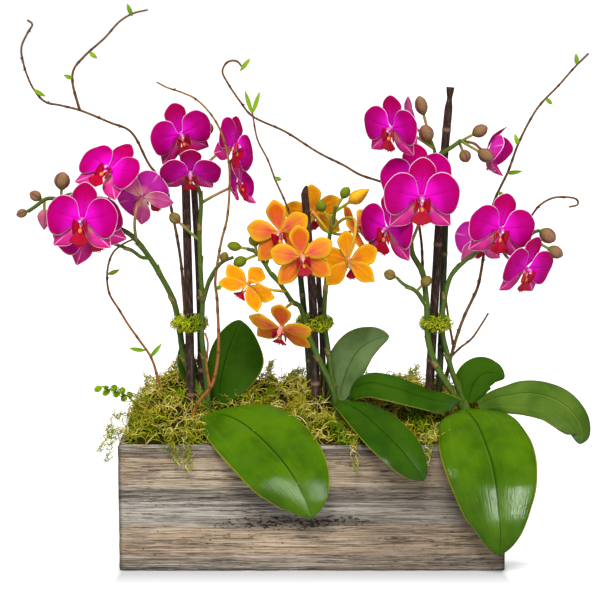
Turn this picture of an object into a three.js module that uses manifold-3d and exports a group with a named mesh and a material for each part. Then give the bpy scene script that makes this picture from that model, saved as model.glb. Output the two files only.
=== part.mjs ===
// Three potted moth orchids in a weathered wooden planter box, with cane stakes,
// moss and curly willow branches. Millimetres, +Z up, the front of the box at -Y.
// The origin is the centre of the box's underside.
import * as THREE from 'three';
import { mergeVertices } from 'three/addons/utils/BufferGeometryUtils.js';
import Module from 'manifold-3d';

const wasm = await Module();
wasm.setup();

// Driving dimensions of the box and what fills it
const boxLength = 304.8;
const boxDepth = 102;
const boxHeight = 101.6;
const boardThickness = 12;
const floorThickness = 10;
const boardEdge = 1.2;
const gap = 0.3;
const clearance = 0.4;
const sliver = 0.05;
const shortestEdge = 0.12;
const linerWall = 1.2;
const linerHeight = 84;
const barkTop = 86;
const mossFoot = 102.3;
const mossRise = 37;

// Driving dimensions of the plants
const bladeThickness = 1.4;
const leafThickness = 2.4;
const stakeSides = 8;
const spikeSides = 5;
const stakeStride = 70;
const spikeStride = 15;
const twigStride = 22;
const twigSides = 4;
const hubRadius = 2.8;
const hubDepth = 3;
const columnLength = 8;
const tepalStart = 1;
const lipStart = 0.8;
const budStalkRadius = 1.1;
const crownFoot = 92;
const crownTop = 128;
const crownWidth = 13;
const bloomReach = 28;

const colours = {
  wood: 0x6f6358, liner: 0x1d1f1c, bark: 0x4a3423, moss: 0x8b8a35, tie: 0x9aa92f,
  stake: 0x3a2c26, greenStake: 0x33402a, willow: 0x8a5a30, stem: 0x4d7a2c, leaf: 0x3f7d1c,
  magenta: 0xd0108f, orange: 0xf59a2b,
};
const group = new THREE.Group();

// Turns a closed geometry into a solid, with its doubled points merged and flat triangles dropped.
function solidOf(geometry) {
  const bare = geometry.clone();
  bare.deleteAttribute('normal');
  bare.deleteAttribute('uv');
  const merged = mergeVertices(bare, 1e-3);
  const corners = merged.index.array;
  const kept = [];
  for (let i = 0; i < corners.length; i += 3) {
    const [a, b, c] = [corners[i], corners[i + 1], corners[i + 2]];
    if (a !== b && b !== c && c !== a) kept.push(a, b, c);
  }
  return new wasm.Manifold(new wasm.Mesh({
    numProp: 3,
    vertProperties: new Float32Array(merged.attributes.position.array),
    triVerts: new Uint32Array(kept),
  }));
}

// Draws the two ends of every edge shorter than the shortest allowed together.
function welded(solid) {
  const { vertProperties: places, triVerts: corners, numVert } = solid.getMesh();
  const point = (i) => new THREE.Vector3().fromArray(places, 3 * i);
  const leader = Array.from({ length: numVert }, (_, i) => i);
  const leaderOf = (i) => (leader[i] === i ? i : leaderOf(leader[i]));
  for (let i = 0; i < corners.length; i += 1) {
    const start = leaderOf(corners[i]);
    const end = leaderOf(corners[i % 3 === 2 ? i - 2 : i + 1]);
    if (start !== end && point(start).distanceTo(point(end)) < shortestEdge) leader[end] = start;
  }
  const geometry = new THREE.BufferGeometry();
  const drawn = Float32Array.from(places, (_, i) => places[3 * leaderOf(Math.floor(i / 3)) + (i % 3)]);
  geometry.setAttribute('position', new THREE.BufferAttribute(drawn, 3));
  geometry.setIndex(Array.from(corners));
  return solidOf(geometry);
}

function largestBody(solid) {
  return solid.decompose().reduce((best, body) => (body.volume() > best.volume() ? body : best));
}

// Joins solids into one, keeps the largest body of the result and merges its slivers.
function fuse(solids) {
  return largestBody(welded(largestBody(wasm.Manifold.union(solids)).simplify(sliver)));
}

// Adds a solid to the model as a named mesh in its own colour.
function addPart(name, solid, colour, roughness = 0.6) {
  const mesh = solid.getMesh();
  const geometry = new THREE.BufferGeometry();
  geometry.setAttribute('position', new THREE.BufferAttribute(mesh.vertProperties, 3));
  geometry.setIndex(new THREE.BufferAttribute(mesh.triVerts, 1));
  geometry.computeVertexNormals();
  const material = new THREE.MeshStandardMaterial({ color: colour, roughness, metalness: 0 });
  const part = new THREE.Mesh(geometry, material);
  part.name = name;
  group.add(part);
}

// A round bar along a smooth route whose radius runs from start to end.
function bar(route, startRadius, endRadius, sides = spikeSides, stride = spikeStride) {
  const curve = new THREE.CatmullRomCurve3(route.map((point) => new THREE.Vector3(...point)));
  const steps = Math.max(Math.min(2, route.length - 1), Math.round(curve.getLength() / stride));
  const section = [];
  for (let side = 0; side < sides; side += 1) {
    const angle = (2 * Math.PI * side) / sides;
    section.push(new THREE.Vector2(0.5 * Math.cos(angle), 0.5 * Math.sin(angle)));
  }
  const geometry = new THREE.ExtrudeGeometry(new THREE.Shape(section), {
    steps, bevelEnabled: false, curveSegments: 1, extrudePath: curve,
  });
  const centres = curve.getSpacedPoints(steps);
  const places = geometry.attributes.position;
  const place = new THREE.Vector3();
  for (let i = 0; i < places.count; i += 1) {
    place.fromBufferAttribute(places, i);
    let nearest = 0;
    centres.forEach((centre, step) => {
      if (centre.distanceTo(place) < centres[nearest].distanceTo(place)) nearest = step;
    });
    const radius = startRadius + ((endRadius - startRadius) * nearest) / steps;
    place.sub(centres[nearest]).multiplyScalar(radius / 0.5).add(centres[nearest]);
    places.setXYZ(i, place.x, place.y, place.z);
  }
  return solidOf(geometry);
}

// A closed sheet from two triangle grids cut alike. point(along, across, face) gives its places, with
// along from 0 to 1, across from -1 to 1 and face 1 on the front, -1 on the back and 0 on the outline.
function sheet(acrossCount, alongCount, point) {
  const front = new THREE.PlaneGeometry(2, 1, acrossCount, alongCount);
  const count = front.attributes.position.count;
  const places = new Float32Array(count * 6);
  for (let i = 0; i < count; i += 1) {
    const across = front.attributes.position.getX(i);
    const along = front.attributes.position.getY(i) + 0.5;
    const onOutline = Math.abs(across) > 0.999 || along < 0.001 || along > 0.999;
    point(along, across, onOutline ? 0 : 1).toArray(places, i * 3);
    point(along, across, onOutline ? 0 : -1).toArray(places, (count + i) * 3);
  }
  const corners = Array.from(front.index.array);
  for (let i = 0; i < front.index.count; i += 3) {
    const [a, b, c] = front.index.array.slice(i, i + 3);
    corners.push(count + a, count + c, count + b);
  }
  const geometry = new THREE.BufferGeometry();
  geometry.setAttribute('position', new THREE.BufferAttribute(places, 3));
  geometry.setIndex(corners);
  return solidOf(geometry);
}

// An egg-shaped solid with its long axis from foot towards tip.
function egg(foot, tip, width, rows = 3, sides = 5) {
  const start = new THREE.Vector3(...foot);
  const axis = new THREE.Vector3(...tip).sub(start);
  const length = axis.length();
  const geometry = new THREE.SphereGeometry(0.5, sides, rows);
  geometry.scale(width, length, width);
  const turn = new THREE.Quaternion().setFromUnitVectors(new THREE.Vector3(0, 1, 0), axis.normalize());
  geometry.applyQuaternion(turn);
  geometry.translate(...start.addScaledVector(axis, length / 2).toArray());
  return solidOf(geometry);
}

// A block with its middle at the given place.
function block(width, depth, height, x, y, z) {
  const geometry = new THREE.BoxGeometry(width, depth, height);
  geometry.translate(x, y, z);
  return solidOf(geometry);
}

// A board with chamfered edges, lying in XZ with its thickness along Y.
function board(width, height, thickness) {
  const half = width / 2 - boardEdge;
  const rise = height / 2 - boardEdge;
  const outline = new THREE.Shape([
    new THREE.Vector2(-half, -rise), new THREE.Vector2(half, -rise),
    new THREE.Vector2(half, rise), new THREE.Vector2(-half, rise),
  ]);
  const geometry = new THREE.ExtrudeGeometry(outline, {
    depth: thickness - 2 * boardEdge, steps: 1, curveSegments: 1,
    bevelEnabled: true, bevelSegments: 1, bevelSize: boardEdge, bevelThickness: boardEdge,
  });
  geometry.translate(0, 0, boardEdge - thickness / 2);
  geometry.rotateX(Math.PI / 2);
  return geometry;
}

// The five boards: the end boards stand between the long ones, and the floor lies between all four.
function addBoards() {
  const longBoardPlace = (boxDepth - boardThickness) / 2;
  const endBoardPlace = (boxLength - boardThickness) / 2;
  const innerDepth = boxDepth - 2 * boardThickness - 2 * gap;
  const innerLength = boxLength - 2 * boardThickness - 2 * gap;
  for (const [name, side] of [['board_front', -1], ['board_back', 1]]) {
    const geometry = board(boxLength, boxHeight, boardThickness);
    geometry.translate(0, side * longBoardPlace, boxHeight / 2);
    addPart(name, solidOf(geometry), colours.wood, 0.85);
  }
  for (const [name, side] of [['board_left', -1], ['board_right', 1]]) {
    const geometry = board(innerDepth, boxHeight, boardThickness);
    geometry.rotateZ(Math.PI / 2);
    geometry.translate(side * endBoardPlace, 0, boxHeight / 2);
    addPart(name, solidOf(geometry), colours.wood, 0.85);
  }
  const floor = board(innerLength, innerDepth, floorThickness);
  floor.rotateX(Math.PI / 2);
  floor.translate(0, 0, floorThickness / 2);
  addPart('board_floor', solidOf(floor), colours.wood, 0.85);
}

// The liner tray stands on the floor board inside the walls.
const linerLength = boxLength - 2 * boardThickness - 1;
const linerDepth = boxDepth - 2 * boardThickness - 1;
const linerFoot = floorThickness + gap;
function addLiner() {
  const outside = block(linerLength, linerDepth, linerHeight, 0, 0, linerFoot + linerHeight / 2);
  const inside = block(
    linerLength - 2 * linerWall, linerDepth - 2 * linerWall, linerHeight,
    0, 0, linerFoot + linerWall + linerHeight / 2,
  );
  addPart('liner_tray', outside.subtract(inside), colours.liner, 0.5);
}

// Cane stakes: route from the foot in the bark to the top, radius at each end
const stakeFoot = 40;
const stakes = {
  left_stake_tall: {
    route: [[-97, 0, stakeFoot], [-98, 0, 180], [-100.5, 0, 331]], radius: [3.7, 3.3], colour: colours.stake,
  },
  left_stake_short: {
    route: [[-88, 12, stakeFoot], [-89, 11, 124], [-90.5, 8, 226], [-94, 8, 300]],
    radius: [3.3, 2.6], colour: colours.stake,
  },
  middle_stake_tall: {
    route: [[4, 0, stakeFoot], [3, 0, 134], [1, -1, 200], [-3, -2, 262], [-6, -2, 296]],
    radius: [3.9, 3], colour: colours.stake,
  },
  middle_stake_short: {
    route: [[12, 9, stakeFoot], [9, 8.5, 160], [5, 7, 232]], radius: [2.6, 2], colour: colours.stake,
  },
  middle_stake_dark: {
    route: [[2, 13, stakeFoot], [-2, 11, 150], [-10, 8, 236]],
    radius: [2.8, 2.3], colour: colours.greenStake,
  },
  right_stake_tall: {
    route: [[91, 1, stakeFoot], [95, 1, 135], [99, 1, 219], [103, 1, 300], [109, 1, 378]],
    radius: [3.8, 3.2], colour: colours.stake,
  },
  right_stake_green: {
    route: [[101, 9, stakeFoot], [104, 9, 160], [107, 9, 278]],
    radius: [2.9, 2.4], colour: colours.greenStake,
  },
};

// Willow branches: each a list of limbs that hold together, and small leaves by place and direction
const branches = {
  branch_left_hooked: {
    limbs: [
      { radius: [1.9, 0.8], route: [
        [-92, 25, 70], [-96, 26, 138], [-102, 25, 181], [-106, 22, 238], [-112, 20, 275],
        [-118, 20, 299], [-130, 20, 315], [-145, 20, 342], [-161, 20, 349], [-185, 18, 359],
        [-200, 16, 363], [-212, 14, 366], [-221, 12, 377], [-228, 10, 397], [-229, 10, 409],
        [-224, 10, 420], [-220, 10, 427], [-224, 10, 430]] },
      { radius: [1.3, 0.7], route: [
        [-185, 18, 359], [-190, 16, 381], [-189, 16, 391], [-180, 16, 402], [-164, 16, 416],
        [-152, 18, 429], [-142, 18, 435], [-130, 20, 438]] },
    ],
    leaves: [
      [[-189, 16, 384], [-197, 16, 387]], [[-176, 16, 405], [-170, 15, 400]],
      [[-142, 18, 433], [-146, 18, 443]], [[-221, 12, 376], [-211, 13, 370]],
    ],
  },
  branch_left_low: {
    limbs: [{ radius: [1.5, 0.8], route: [
      [-118, 8, 74], [-122, 9, 125], [-129, 10, 158], [-139, 10, 174], [-148, 10, 187], [-155, 10, 199],
      [-163, 10, 213], [-164, 10, 232], [-159, 10, 246], [-150, 12, 253], [-141, 14, 257]] }],
    leaves: [
      [[-164, 10, 228], [-154, 10, 232]], [[-134, 10, 166], [-148, 10, 168]],
      [[-131, 10, 160], [-121, 10, 172]],
    ],
  },
  branch_left_front: {
    limbs: [
      { radius: [2.1, 0.9], route: [
        [-104, -16, 82], [-92, -15, 126], [-80, -16, 142], [-75, -17, 163], [-74, -18, 179],
        [-75, -22, 215], [-76, -26, 227], [-71, -30, 259], [-66, -32, 279], [-64, -33, 314],
        [-66, -31, 330], [-70, -27, 343], [-77, -22, 356], [-90, -14, 369], [-101, -8, 374],
        [-114, -2, 378], [-122, 0, 382]] },
      { radius: [1.2, 0.8], route: [[-81, -16, 140], [-84, -12, 158], [-83, -10, 176], [-85, -11, 184]] },
    ],
    leaves: [[[-75, -24, 221], [-70, -27, 226]]],
  },
  branch_middle: {
    limbs: [{ radius: [1.6, 0.7], route: [
      [8, 24, 74], [8, 24, 137], [6, 21, 200], [0, 16, 228], [-8, 8, 246], [-16, 2, 272], [-21, 0, 287],
      [-29, 0, 305], [-35, 0, 321], [-43, 0, 337], [-47, 0, 358]] }],
    leaves: [[[-47, 0, 357], [-53, 0, 376]], [[-47, 0, 357], [-41, 0, 375]], [[-30, 0, 307], [-24, 0, 305]]],
  },
  branch_arching: {
    limbs: [{ radius: [1.7, 0.8], route: [
      [98, 22, 72], [98, 20, 140], [95, 18, 190], [90, 18, 227], [88, 20, 256], [82, 22, 283],
      [70, 21, 296], [55, 18, 302], [38, 15, 308], [26, 15, 315], [6, 15, 325], [-21, 15, 342],
      [-48, 15, 355], [-57, 15, 366], [-67, 15, 381], [-71, 15, 390], [-67, 15, 397],
      [-60, 15, 398], [-55, 15, 393]] }],
    leaves: [[[-57, 15, 390], [-49, 15, 400]]],
  },
  branch_right: {
    limbs: [
      { radius: [2, 0.8], route: [
        [104, 16, 72], [107, 15, 128], [111, 14, 151], [116, 13, 172], [123, 13, 193],
        [130, 14, 208], [134, 16, 217], [139, 20, 244], [142, 20, 268], [147, 18, 288],
        [157, 15, 311], [163, 11, 330], [171, 10, 348], [180, 10, 363], [195, 10, 379],
        [208, 10, 394], [218, 10, 404]] },
      { radius: [1.2, 0.8], route: [
        [139, 20, 245], [155, 25, 256], [175, 18, 273], [182, 14, 283], [192, 14, 289],
        [202, 14, 290], [212, 14, 288], [213, 14, 284], [206, 14, 282]] },
      { radius: [1.1, 0.8], route: [
        [113, 14, 160], [121, 22, 166], [130, 23, 173], [137, 21, 184], [143, 18, 195]] },
      { radius: [1.2, 0.8], route: [
        [115, 13, 168], [112, 17, 184], [109, 19, 204], [107, 20, 222], [105, 20, 237]] },
    ],
    leaves: [
      [[209, 10, 395], [208, 10, 404]], [[185, 10, 369], [190, 10, 364]], [[164, 11, 331], [161, 11, 341]],
      [[155, 15.5, 309], [168, 12, 311]], [[149, 17.5, 294], [156, 14, 289]],
    ],
  },
};

// The three plants: crown, flower spikes, blooms and buds, all in places that a gardener would tie them
const plants = {
  left: {
    crown: [-84, -2], kind: 'magenta',
    spikes: [
      { radius: [2.9, 1.5], route: [
        [-85, -2, 118], [-87, 1, 127], [-94, 6, 139], [-103, 8, 160], [-107, 7, 188],
        [-111, 3, 208], [-121, 0, 229], [-129, -2, 243], [-142, -8, 261], [-152, -8, 267],
        [-168, -4, 272], [-180, -4, 284], [-189, -6, 294], [-199, -8, 291], [-209, -9, 291],
        [-218, -10, 285], [-224, -10, 281]] },
      { radius: [1.6, 1.2], route: [[-129, -2, 243], [-135, -6, 244], [-143, -8, 250], [-158, -12, 256]] },
      { radius: [2.4, 1.5], route: [
        [-83, -1, 117], [-84, -1, 135], [-86, -3, 160], [-88, -6, 181], [-87, -8, 210], [-88, -8, 226],
        [-89, -6, 262], [-88, -6, 293], [-92, -7, 305], [-97, -7, 321], [-99, -7, 330]] },
      { radius: [2, 1.3], route: [[-87, -8, 208], [-80, -10, 229], [-71, -12, 241], [-62, -12, 245]] },
    ],
    blooms: [
      {
        at: [-177, -45, 278], turn: -12, tilt: 8, roll: 2, reach: 27,
        stalk: [[-181, -4, 285], [-174, -12, 292], [-174, -26, 292.5]],
      },
      { at: [-175, -20, 269], turn: 8, tilt: 5, roll: -28, reach: 27, stalk: [[-160, -6, 269]] },
      {
        at: [-158, -25, 315], turn: -20, tilt: 40, roll: 20, reach: 25.5,
        stalk: [[-170, -4, 274], [-160, -5, 292]],
      },
      {
        at: [-133, -12, 293], turn: 160, tilt: 25, roll: 34, reach: 23.5,
        stalk: [[-139, -7, 257], [-139, -22, 272], [-137, -28, 285]],
      },
      {
        at: [-103, -15, 342], turn: 22, tilt: -12, roll: -18, reach: 24,
        stalk: [[-98, -7, 326], [-101, -5, 337]],
      },
      { at: [-95, -22, 313], turn: 5, tilt: -42, reach: 23, stalk: [[-94, -7, 312], [-94, -10, 321]] },
      {
        at: [-62, 5, 331], turn: 61, tilt: 8, roll: 34, reach: 25,
        stalk: [[-92, -7, 306], [-81, 1, 320]],
      },
      {
        at: [-60, 13, 300], turn: 68, tilt: 24, roll: 13, cup: 14, reach: 20,
        stalk: [[-88, -6, 287], [-78, 4, 292]],
      },
    ],
    buds: [
      { foot: [-198, -8, 292], tip: [-196, -8, 312], width: 12.5, long: 14 },
      { foot: [-211, -9, 289], tip: [-222, -10, 296], width: 8.5, long: 10 },
      { foot: [-222, -10, 282], tip: [-233, -10, 278], width: 7, long: 9 },
      { foot: [-211, -9, 289], tip: [-211, -14, 267], width: 11, long: 16 },
      { foot: [-97, -7, 322], tip: [-80, 8, 349], width: 9.5, long: 10 },
      { foot: [-90, -6, 258], tip: [-112, -9, 279], width: 9, long: 10 },
      { foot: [-71, -12, 240], tip: [-68, -12, 249], width: 7, long: 8.5 },
    ],
  },
  middle: {
    crown: [21, 0], kind: 'orange',
    spikes: [
      { radius: [2.7, 1.5], route: [
        [20, -3, 120], [17, -5, 136], [7, -9, 159], [-1, -11, 178], [-6, -12, 195], [-10, -12, 206],
        [-15, -13, 209], [-21, -16, 218], [-27, -18, 227], [-32, -18, 232], [-38, -14, 241], [-45, -10, 249],
        [-51, -8, 251]] },
      { radius: [2.6, 1.5], route: [
        [20, 2, 120], [17, 3, 139], [13, 2, 168], [10, 1, 191], [10, 1, 204], [12, 2, 229], [14, 2, 249],
        [14, 2, 260], [16, 2, 268], [19, 2, 284]] },
    ],
    blooms: [
      { at: [-8, -45, 250], turn: 8, tilt: -5, roll: -8, reach: 25, stalk: [[12, 2, 238], [3, -22, 242]] },
      {
        at: [-25, -22, 266], turn: -18, tilt: 0, roll: -12, reach: 26,
        stalk: [[-36, -15, 239], [-32, -10, 252]],
      },
      { at: [1, 15, 277], turn: 195, tilt: 6, roll: 8, reach: 24, stalk: [[14, 2, 262], [8, 3, 270]] },
      {
        at: [-50, -40, 227], turn: -149, tilt: -43, roll: -50, reach: 22.7,
        stalk: [[-21, -16, 218], [-23, -40, 222], [-34, -54, 226]],
      },
      {
        at: [-24, -45, 194], turn: -25, tilt: -38, roll: 14, reach: 26,
        stalk: [[-15, -13, 209], [-21, -28, 206]],
      },
      {
        at: [29, -18, 243], turn: 155, tilt: -6, roll: 8, reach: 24,
        stalk: [[16, 2, 266], [25, -9, 275], [33, -22, 276], [33, -32, 264]],
      },
      {
        at: [36.5, 22, 264], turn: 62, tilt: 30, roll: -12, cup: 8, reach: 22,
        stalk: [[15, 2, 263], [22, 14, 260]],
      },
    ],
    buds: [
      { foot: [-50, -8, 251], tip: [-67, -8, 254], width: 7.5, long: 11 },
      { foot: [-44, -11, 248], tip: [-46, -8, 263], width: 9.5, long: 10 },
      { foot: [-43, -11, 247], tip: [-62, -10, 239], width: 8.7, long: 11 },
      { foot: [15, 2, 270], tip: [5, 5, 288], width: 8.7, long: 9.5 },
      { foot: [19, 2, 282], tip: [29, 2, 299], width: 8, long: 10 },
      { foot: [19, 2, 280], tip: [45, -2, 298], width: 11, long: 19 },
    ],
  },
  right: {
    crown: [124, -3], kind: 'magenta',
    spikes: [
      { radius: [2.8, 1.7], route: [
        [122, -2, 118], [117, -6, 128], [108, -8, 142], [98, -7, 160], [93, -6, 177], [92, -6, 194],
        [91, -6, 210], [88, -6, 231], [84, -6, 239], [80, -4, 246], [78, 0, 258], [76, 5, 269], [79, 8, 282],
        [84, 8, 297], [90, 5, 309], [96, -1, 320], [103, -6, 327], [111, -4, 332], [117, 0, 336]] },
      { radius: [1.6, 1.2], route: [[94, 1, 317], [97, 0, 326], [94, 0, 336]] },
      { radius: [2.5, 1.4], route: [
        [124, 2, 118], [120, 5, 132], [113, 5, 150], [108, 3, 168], [105, 0, 180], [104, -4, 194],
        [107, -6, 218], [111, -6, 230], [119, -6, 239], [129, -6, 247], [139, -6, 253],
        [149, -6, 255], [158, -8, 257], [168, -8, 257], [175, -8, 264], [180, -9, 266]] },
      { radius: [1.2, 1], route: [[167, -8, 257], [175, -10, 258], [182, -12, 255]] },
      { radius: [2, 1.2], route: [[90, -6, 207], [82, -12, 218], [72, -14, 224], [67, -15, 229]] },
    ],
    blooms: [
      {
        at: [84, -40, 295], turn: 6, tilt: -3, roll: 1, reach: 28.5,
        stalk: [[79, -2, 255], [84, -14, 272], [86, -27, 286]],
      },
      { at: [82, -12, 307], turn: -12, tilt: 22, roll: -8, reach: 27, stalk: [[85, 8, 298]] },
      { at: [60, -18, 268], turn: -45, tilt: 0, roll: 3, reach: 27, stalk: [[79, -2, 253], [71, -5, 262]] },
      { at: [62, -20, 347], turn: -38, tilt: -8, roll: 5, reach: 24, stalk: [[96, 0, 330], [84, -2, 338]] },
      { at: [76, 20, 346], turn: -115, tilt: 0, roll: 0, reach: 22, stalk: [[95, 1, 332], [88, 10, 340]] },
      {
        at: [140, 12, 327], turn: 72, tilt: -10, roll: 10, cup: 35, reach: 20,
        stalk: [[117, 0, 336], [129, 8, 333]],
      },
      {
        at: [147, -25, 269], turn: 14, tilt: -8, roll: 9, reach: 26,
        stalk: [[140, -6, 253], [145, -10, 263]],
      },
      {
        at: [135, 8, 257], turn: -150, tilt: 0, roll: 0, reach: 22,
        stalk: [[128, -6, 246], [134, -5, 252]],
      },
      {
        at: [168, -20, 237], turn: 38, tilt: -18, roll: 10, reach: 25,
        stalk: [[149, -6, 254], [154, -8, 245]],
      },
    ],
    buds: [
      { foot: [94, 0, 334], tip: [84, 0, 371], width: 10, long: 15 },
      { foot: [94, 0, 334], tip: [87, -3, 348], width: 12, long: 14 },
      { foot: [116, 0, 335], tip: [138, -1, 347], width: 10, long: 13 },
      { foot: [116, 0, 335], tip: [123, 3, 319], width: 9.5, long: 10.5 },
      { foot: [117, 0, 336], tip: [142, -10, 322], width: 11, long: 13.5 },
      { foot: [180, -9, 266], tip: [192, -11, 258], width: 12, long: 15 },
      { foot: [181, -12, 255], tip: [198, -12, 246], width: 10, long: 13 },
      { foot: [67, -15, 229], tip: [57, -14, 233], width: 8.7, long: 9.5 },
      { foot: [83, -12, 218], tip: [94, -10, 229], width: 8.7, long: 10 },
    ],
  },
};

// Leaves: spine from crown to tip, half width, facing at base and tip, fold of the halves up from the
// midrib, droop of the margins, where along the leaf it is widest, and how round its ends are
const leaves = {
  left_leaf_upright: {
    spine: [[-75, 4, 121], [-74, 9, 139], [-70, 15, 157], [-65, 20, 172], [-58, 26, 188]],
    width: 31, leftWidth: 14, facing: [[-0.3, -1, 0.3], [0.2, -1, 0.2]], fold: 0.25, droop: 0.25,
    widest: 0.56, round: 0.55,
  },
  left_leaf_behind: {
    spine: [[-96, 15, 120], [-98, 16, 138], [-102, 18, 155], [-105, 18, 171]],
    width: 8, facing: [[0.3, -1, 0.1], [0.3, -1, 0.1]], fold: 0.2, droop: 0.2, widest: 0.6, round: 0.7,
  },
  left_leaf_front: {
    spine: [
      [-80, -9, 118], [-69, -22, 119], [-57, -36, 117], [-42, -51, 109], [-25, -63, 94], [-14, -68, 80],
      [-6, -71, 65], [0, -72, 50]],
    width: 34, facing: [[0.2, -0.5, 1], [0, -1, 0.9], [-0.3, -1, 0.3]],
    fold: 0.25, droop: 0.3, widest: 0.5, round: 0.55,
  },
  middle_leaf_upright: {
    spine: [[22, 6, 126], [26, 11, 141], [31, 15, 153], [39, 19, 165], [50, 21, 172], [63, 21, 176]],
    width: 14, leftWidth: 19, facing: [[-0.4, -1, 0.2], [0.1, -1, 0.5]], fold: 0.35, droop: 0.3,
    widest: 0.46, round: 0.6,
  },
  middle_leaf_front: {
    spine: [
      [22, -10, 127], [33, -24, 126], [45, -40, 120], [59, -54, 109], [71, -61, 98], [80, -64, 87],
      [87, -66, 78]],
    width: 18, facing: [[0.2, -0.5, 1], [-0.2, -1, 0.6]],
    fold: 0.3, droop: 0.3, widest: 0.5, round: 0.6,
  },
  middle_leaf_arching: {
    spine: [
      [31, -4, 130], [34, -10, 138], [46, -16, 144], [62, -21, 142], [80, -24, 137], [97, -26, 132],
      [108, -27, 131], [118, -28, 133]],
    width: 14, facing: [[-0.8, -0.4, 0.6], [0, -0.6, 0.8], [0, -0.5, 0.8], [0.2, -0.9, -0.2]],
    fold: 0.25, droop: 0.35, widest: 0.45, round: 0.7,
  },
  right_leaf_upright: {
    spine: [[126, 6, 124], [129, 10, 132], [133, 14, 140], [140, 17, 145], [149, 18, 145], [157, 17, 142]],
    width: 14, leftWidth: 17, facing: [[-0.3, -1, 0.3], [0.3, -0.8, 0.8]], fold: 0.3, droop: 0.3,
    widest: 0.48, round: 0.6,
  },
  right_leaf_front: {
    spine: [
      [123, -14, 121], [126, -28, 120], [131, -44, 114], [135, -58, 104], [139, -66, 92], [142, -70, 76],
      [144, -71, 58], [146, -70, 40], [146, -66, 18]],
    width: 37, leftWidth: 36, facing: [[0, -0.5, 1], [0, -1, 0.7], [0, -1, 0]], fold: 0.22, droop: 0.3,
    widest: 0.47, round: 0.55,
  },
  right_leaf_arching: {
    spine: [
      [134, -4, 124], [146, -6, 130], [158, -9, 133], [170, -11, 135], [183, -13, 134], [195, -14, 130],
      [205, -15, 123], [213, -16, 113], [216, -17, 103], [214, -18, 95]],
    width: 22, leftWidth: 16, facing: [[-0.1, -0.8, 0.8], [0.1, -0.8, 0.9], [0.5, -0.9, 0.4]],
    fold: 0.1, droop: 0.25, widest: 0.55, round: 0.6,
  },
};

const unit = (numbers) => new THREE.Vector3(...numbers).normalize();

// Half width of a blade along its length as a share of the widest, from a base that isn't quite closed.
function bladeOutline(along, widest, roundness, base) {
  const placed = base + (1 - base) * along;
  return Math.sin(Math.PI * Math.min(1, placed) ** (Math.log(0.5) / Math.log(widest))) ** roundness;
}

// A long leaf along its spine, folded at the midrib, with domed halves and a thick middle. room makes
// it larger all round, for the slot that it needs in the moss.
function leafSolid(leaf, room = 0) {
  const curve = new THREE.CatmullRomCurve3(leaf.spine.map((point) => new THREE.Vector3(...point)));
  const facings = leaf.facing.map(unit);
  return sheet(4, 10, (along, across, face) => {
    const tangent = curve.getTangent(along);
    const middle = curve.getPoint(along).addScaledVector(tangent, along < 0.001 ? -5 * room : 0);
    const stretch = along * (facings.length - 1);
    const station = Math.min(facings.length - 2, Math.floor(stretch));
    const facing = facings[station].clone().lerp(facings[station + 1], stretch - station);
    facing.addScaledVector(tangent, -tangent.dot(facing)).normalize();
    const side = new THREE.Vector3().crossVectors(tangent, facing);
    const share = along > 0.999 ? 0 : bladeOutline(along, leaf.widest, leaf.round, 0.05);
    const width = (across < 0 ? leaf.leftWidth ?? leaf.width : leaf.width) * share + room;
    const rise = width * (leaf.fold * Math.abs(across) - leaf.droop * across * across);
    const half = face * (0.5 * leafThickness * (1 - 0.5 * Math.abs(across)) + room);
    return middle.addScaledVector(side, across * width).addScaledVector(facing, rise + half);
  });
}

// The bark mix fills the liner up to its level top.
function barkSolid() {
  const foot = linerFoot + linerWall + gap;
  return block(
    linerLength - 2 * linerWall - 2 * gap, linerDepth - 2 * linerWall - 2 * gap, barkTop - foot,
    0, 0, (barkTop + foot) / 2,
  );
}

// Height of the moss over its foot at a place given as shares of the bed's half length and half depth.
function mossHeight(lengthShare, depthShare) {
  const across = (depthShare + 1) / 2;
  const ridge = (0.2 + across) * (1 - Math.abs(depthShare) ** 6);
  const ends = 1 - Math.abs(lengthShare) ** 12;
  const leftBulge = 6 * Math.exp(-(((lengthShare + 0.75) / 0.18) ** 2));
  const rightDip = 10 * Math.exp(-(((lengthShare - 0.95) / 0.2) ** 2));
  const lumps = 2.2 * Math.sin(31 * lengthShare + 2 * depthShare)
    * Math.cos(9 * depthShare + 5 * lengthShare);
  return (mossRise + leftBulge - rightDip + lumps) * ridge * ends;
}

// Hollows in the moss where crowns sit and leaves lean over it: x, y, radius and depth
const mossHollows = [
  [-82, -8, 20, 12], [-60, -30, 24, 12], [-40, -44, 22, 8], [24, -8, 18, 12], [46, -38, 22, 9],
  [64, -44, 16, 6], [125, -8, 20, 16], [128, -36, 26, 14], [110, -30, 20, 8], [70, -22, 20, 6],
];

// The moss bed: a plug inside the box, a lumpy mound over the rim and tufts that stand out of it.
function mossSolid() {
  const halfLength = 150;
  const halfDepth = 48;
  const mound = sheet(7, 26, (along, across, face) => {
    const lengthShare = 2 * along - 1;
    const corner = 1 - 0.05 * Math.abs(lengthShare) ** 6;
    const x = -lengthShare * halfLength * (1 - 0.02 * Math.abs(across) ** 6);
    const y = across * halfDepth * corner;
    if (face <= 0) return new THREE.Vector3(x, y, mossFoot);
    let height = mossHeight(-lengthShare, across);
    for (const [hollowX, hollowY, radius, depth] of mossHollows) {
      height -= depth * Math.exp(-(((x - hollowX) ** 2 + (y - hollowY) ** 2) / (radius * radius)));
    }
    return new THREE.Vector3(x, y, mossFoot + Math.max(1.2, height));
  });
  const plugBottom = barkTop + 3;
  const plug = block(
    linerLength - 2 * linerWall - 4, linerDepth - 2 * linerWall - 4, mossFoot + 1 - plugBottom,
    0, 0, (mossFoot + 1 + plugBottom) / 2,
  );
  return fuse([mound, plug, ...mossTufts()]);
}

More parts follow.
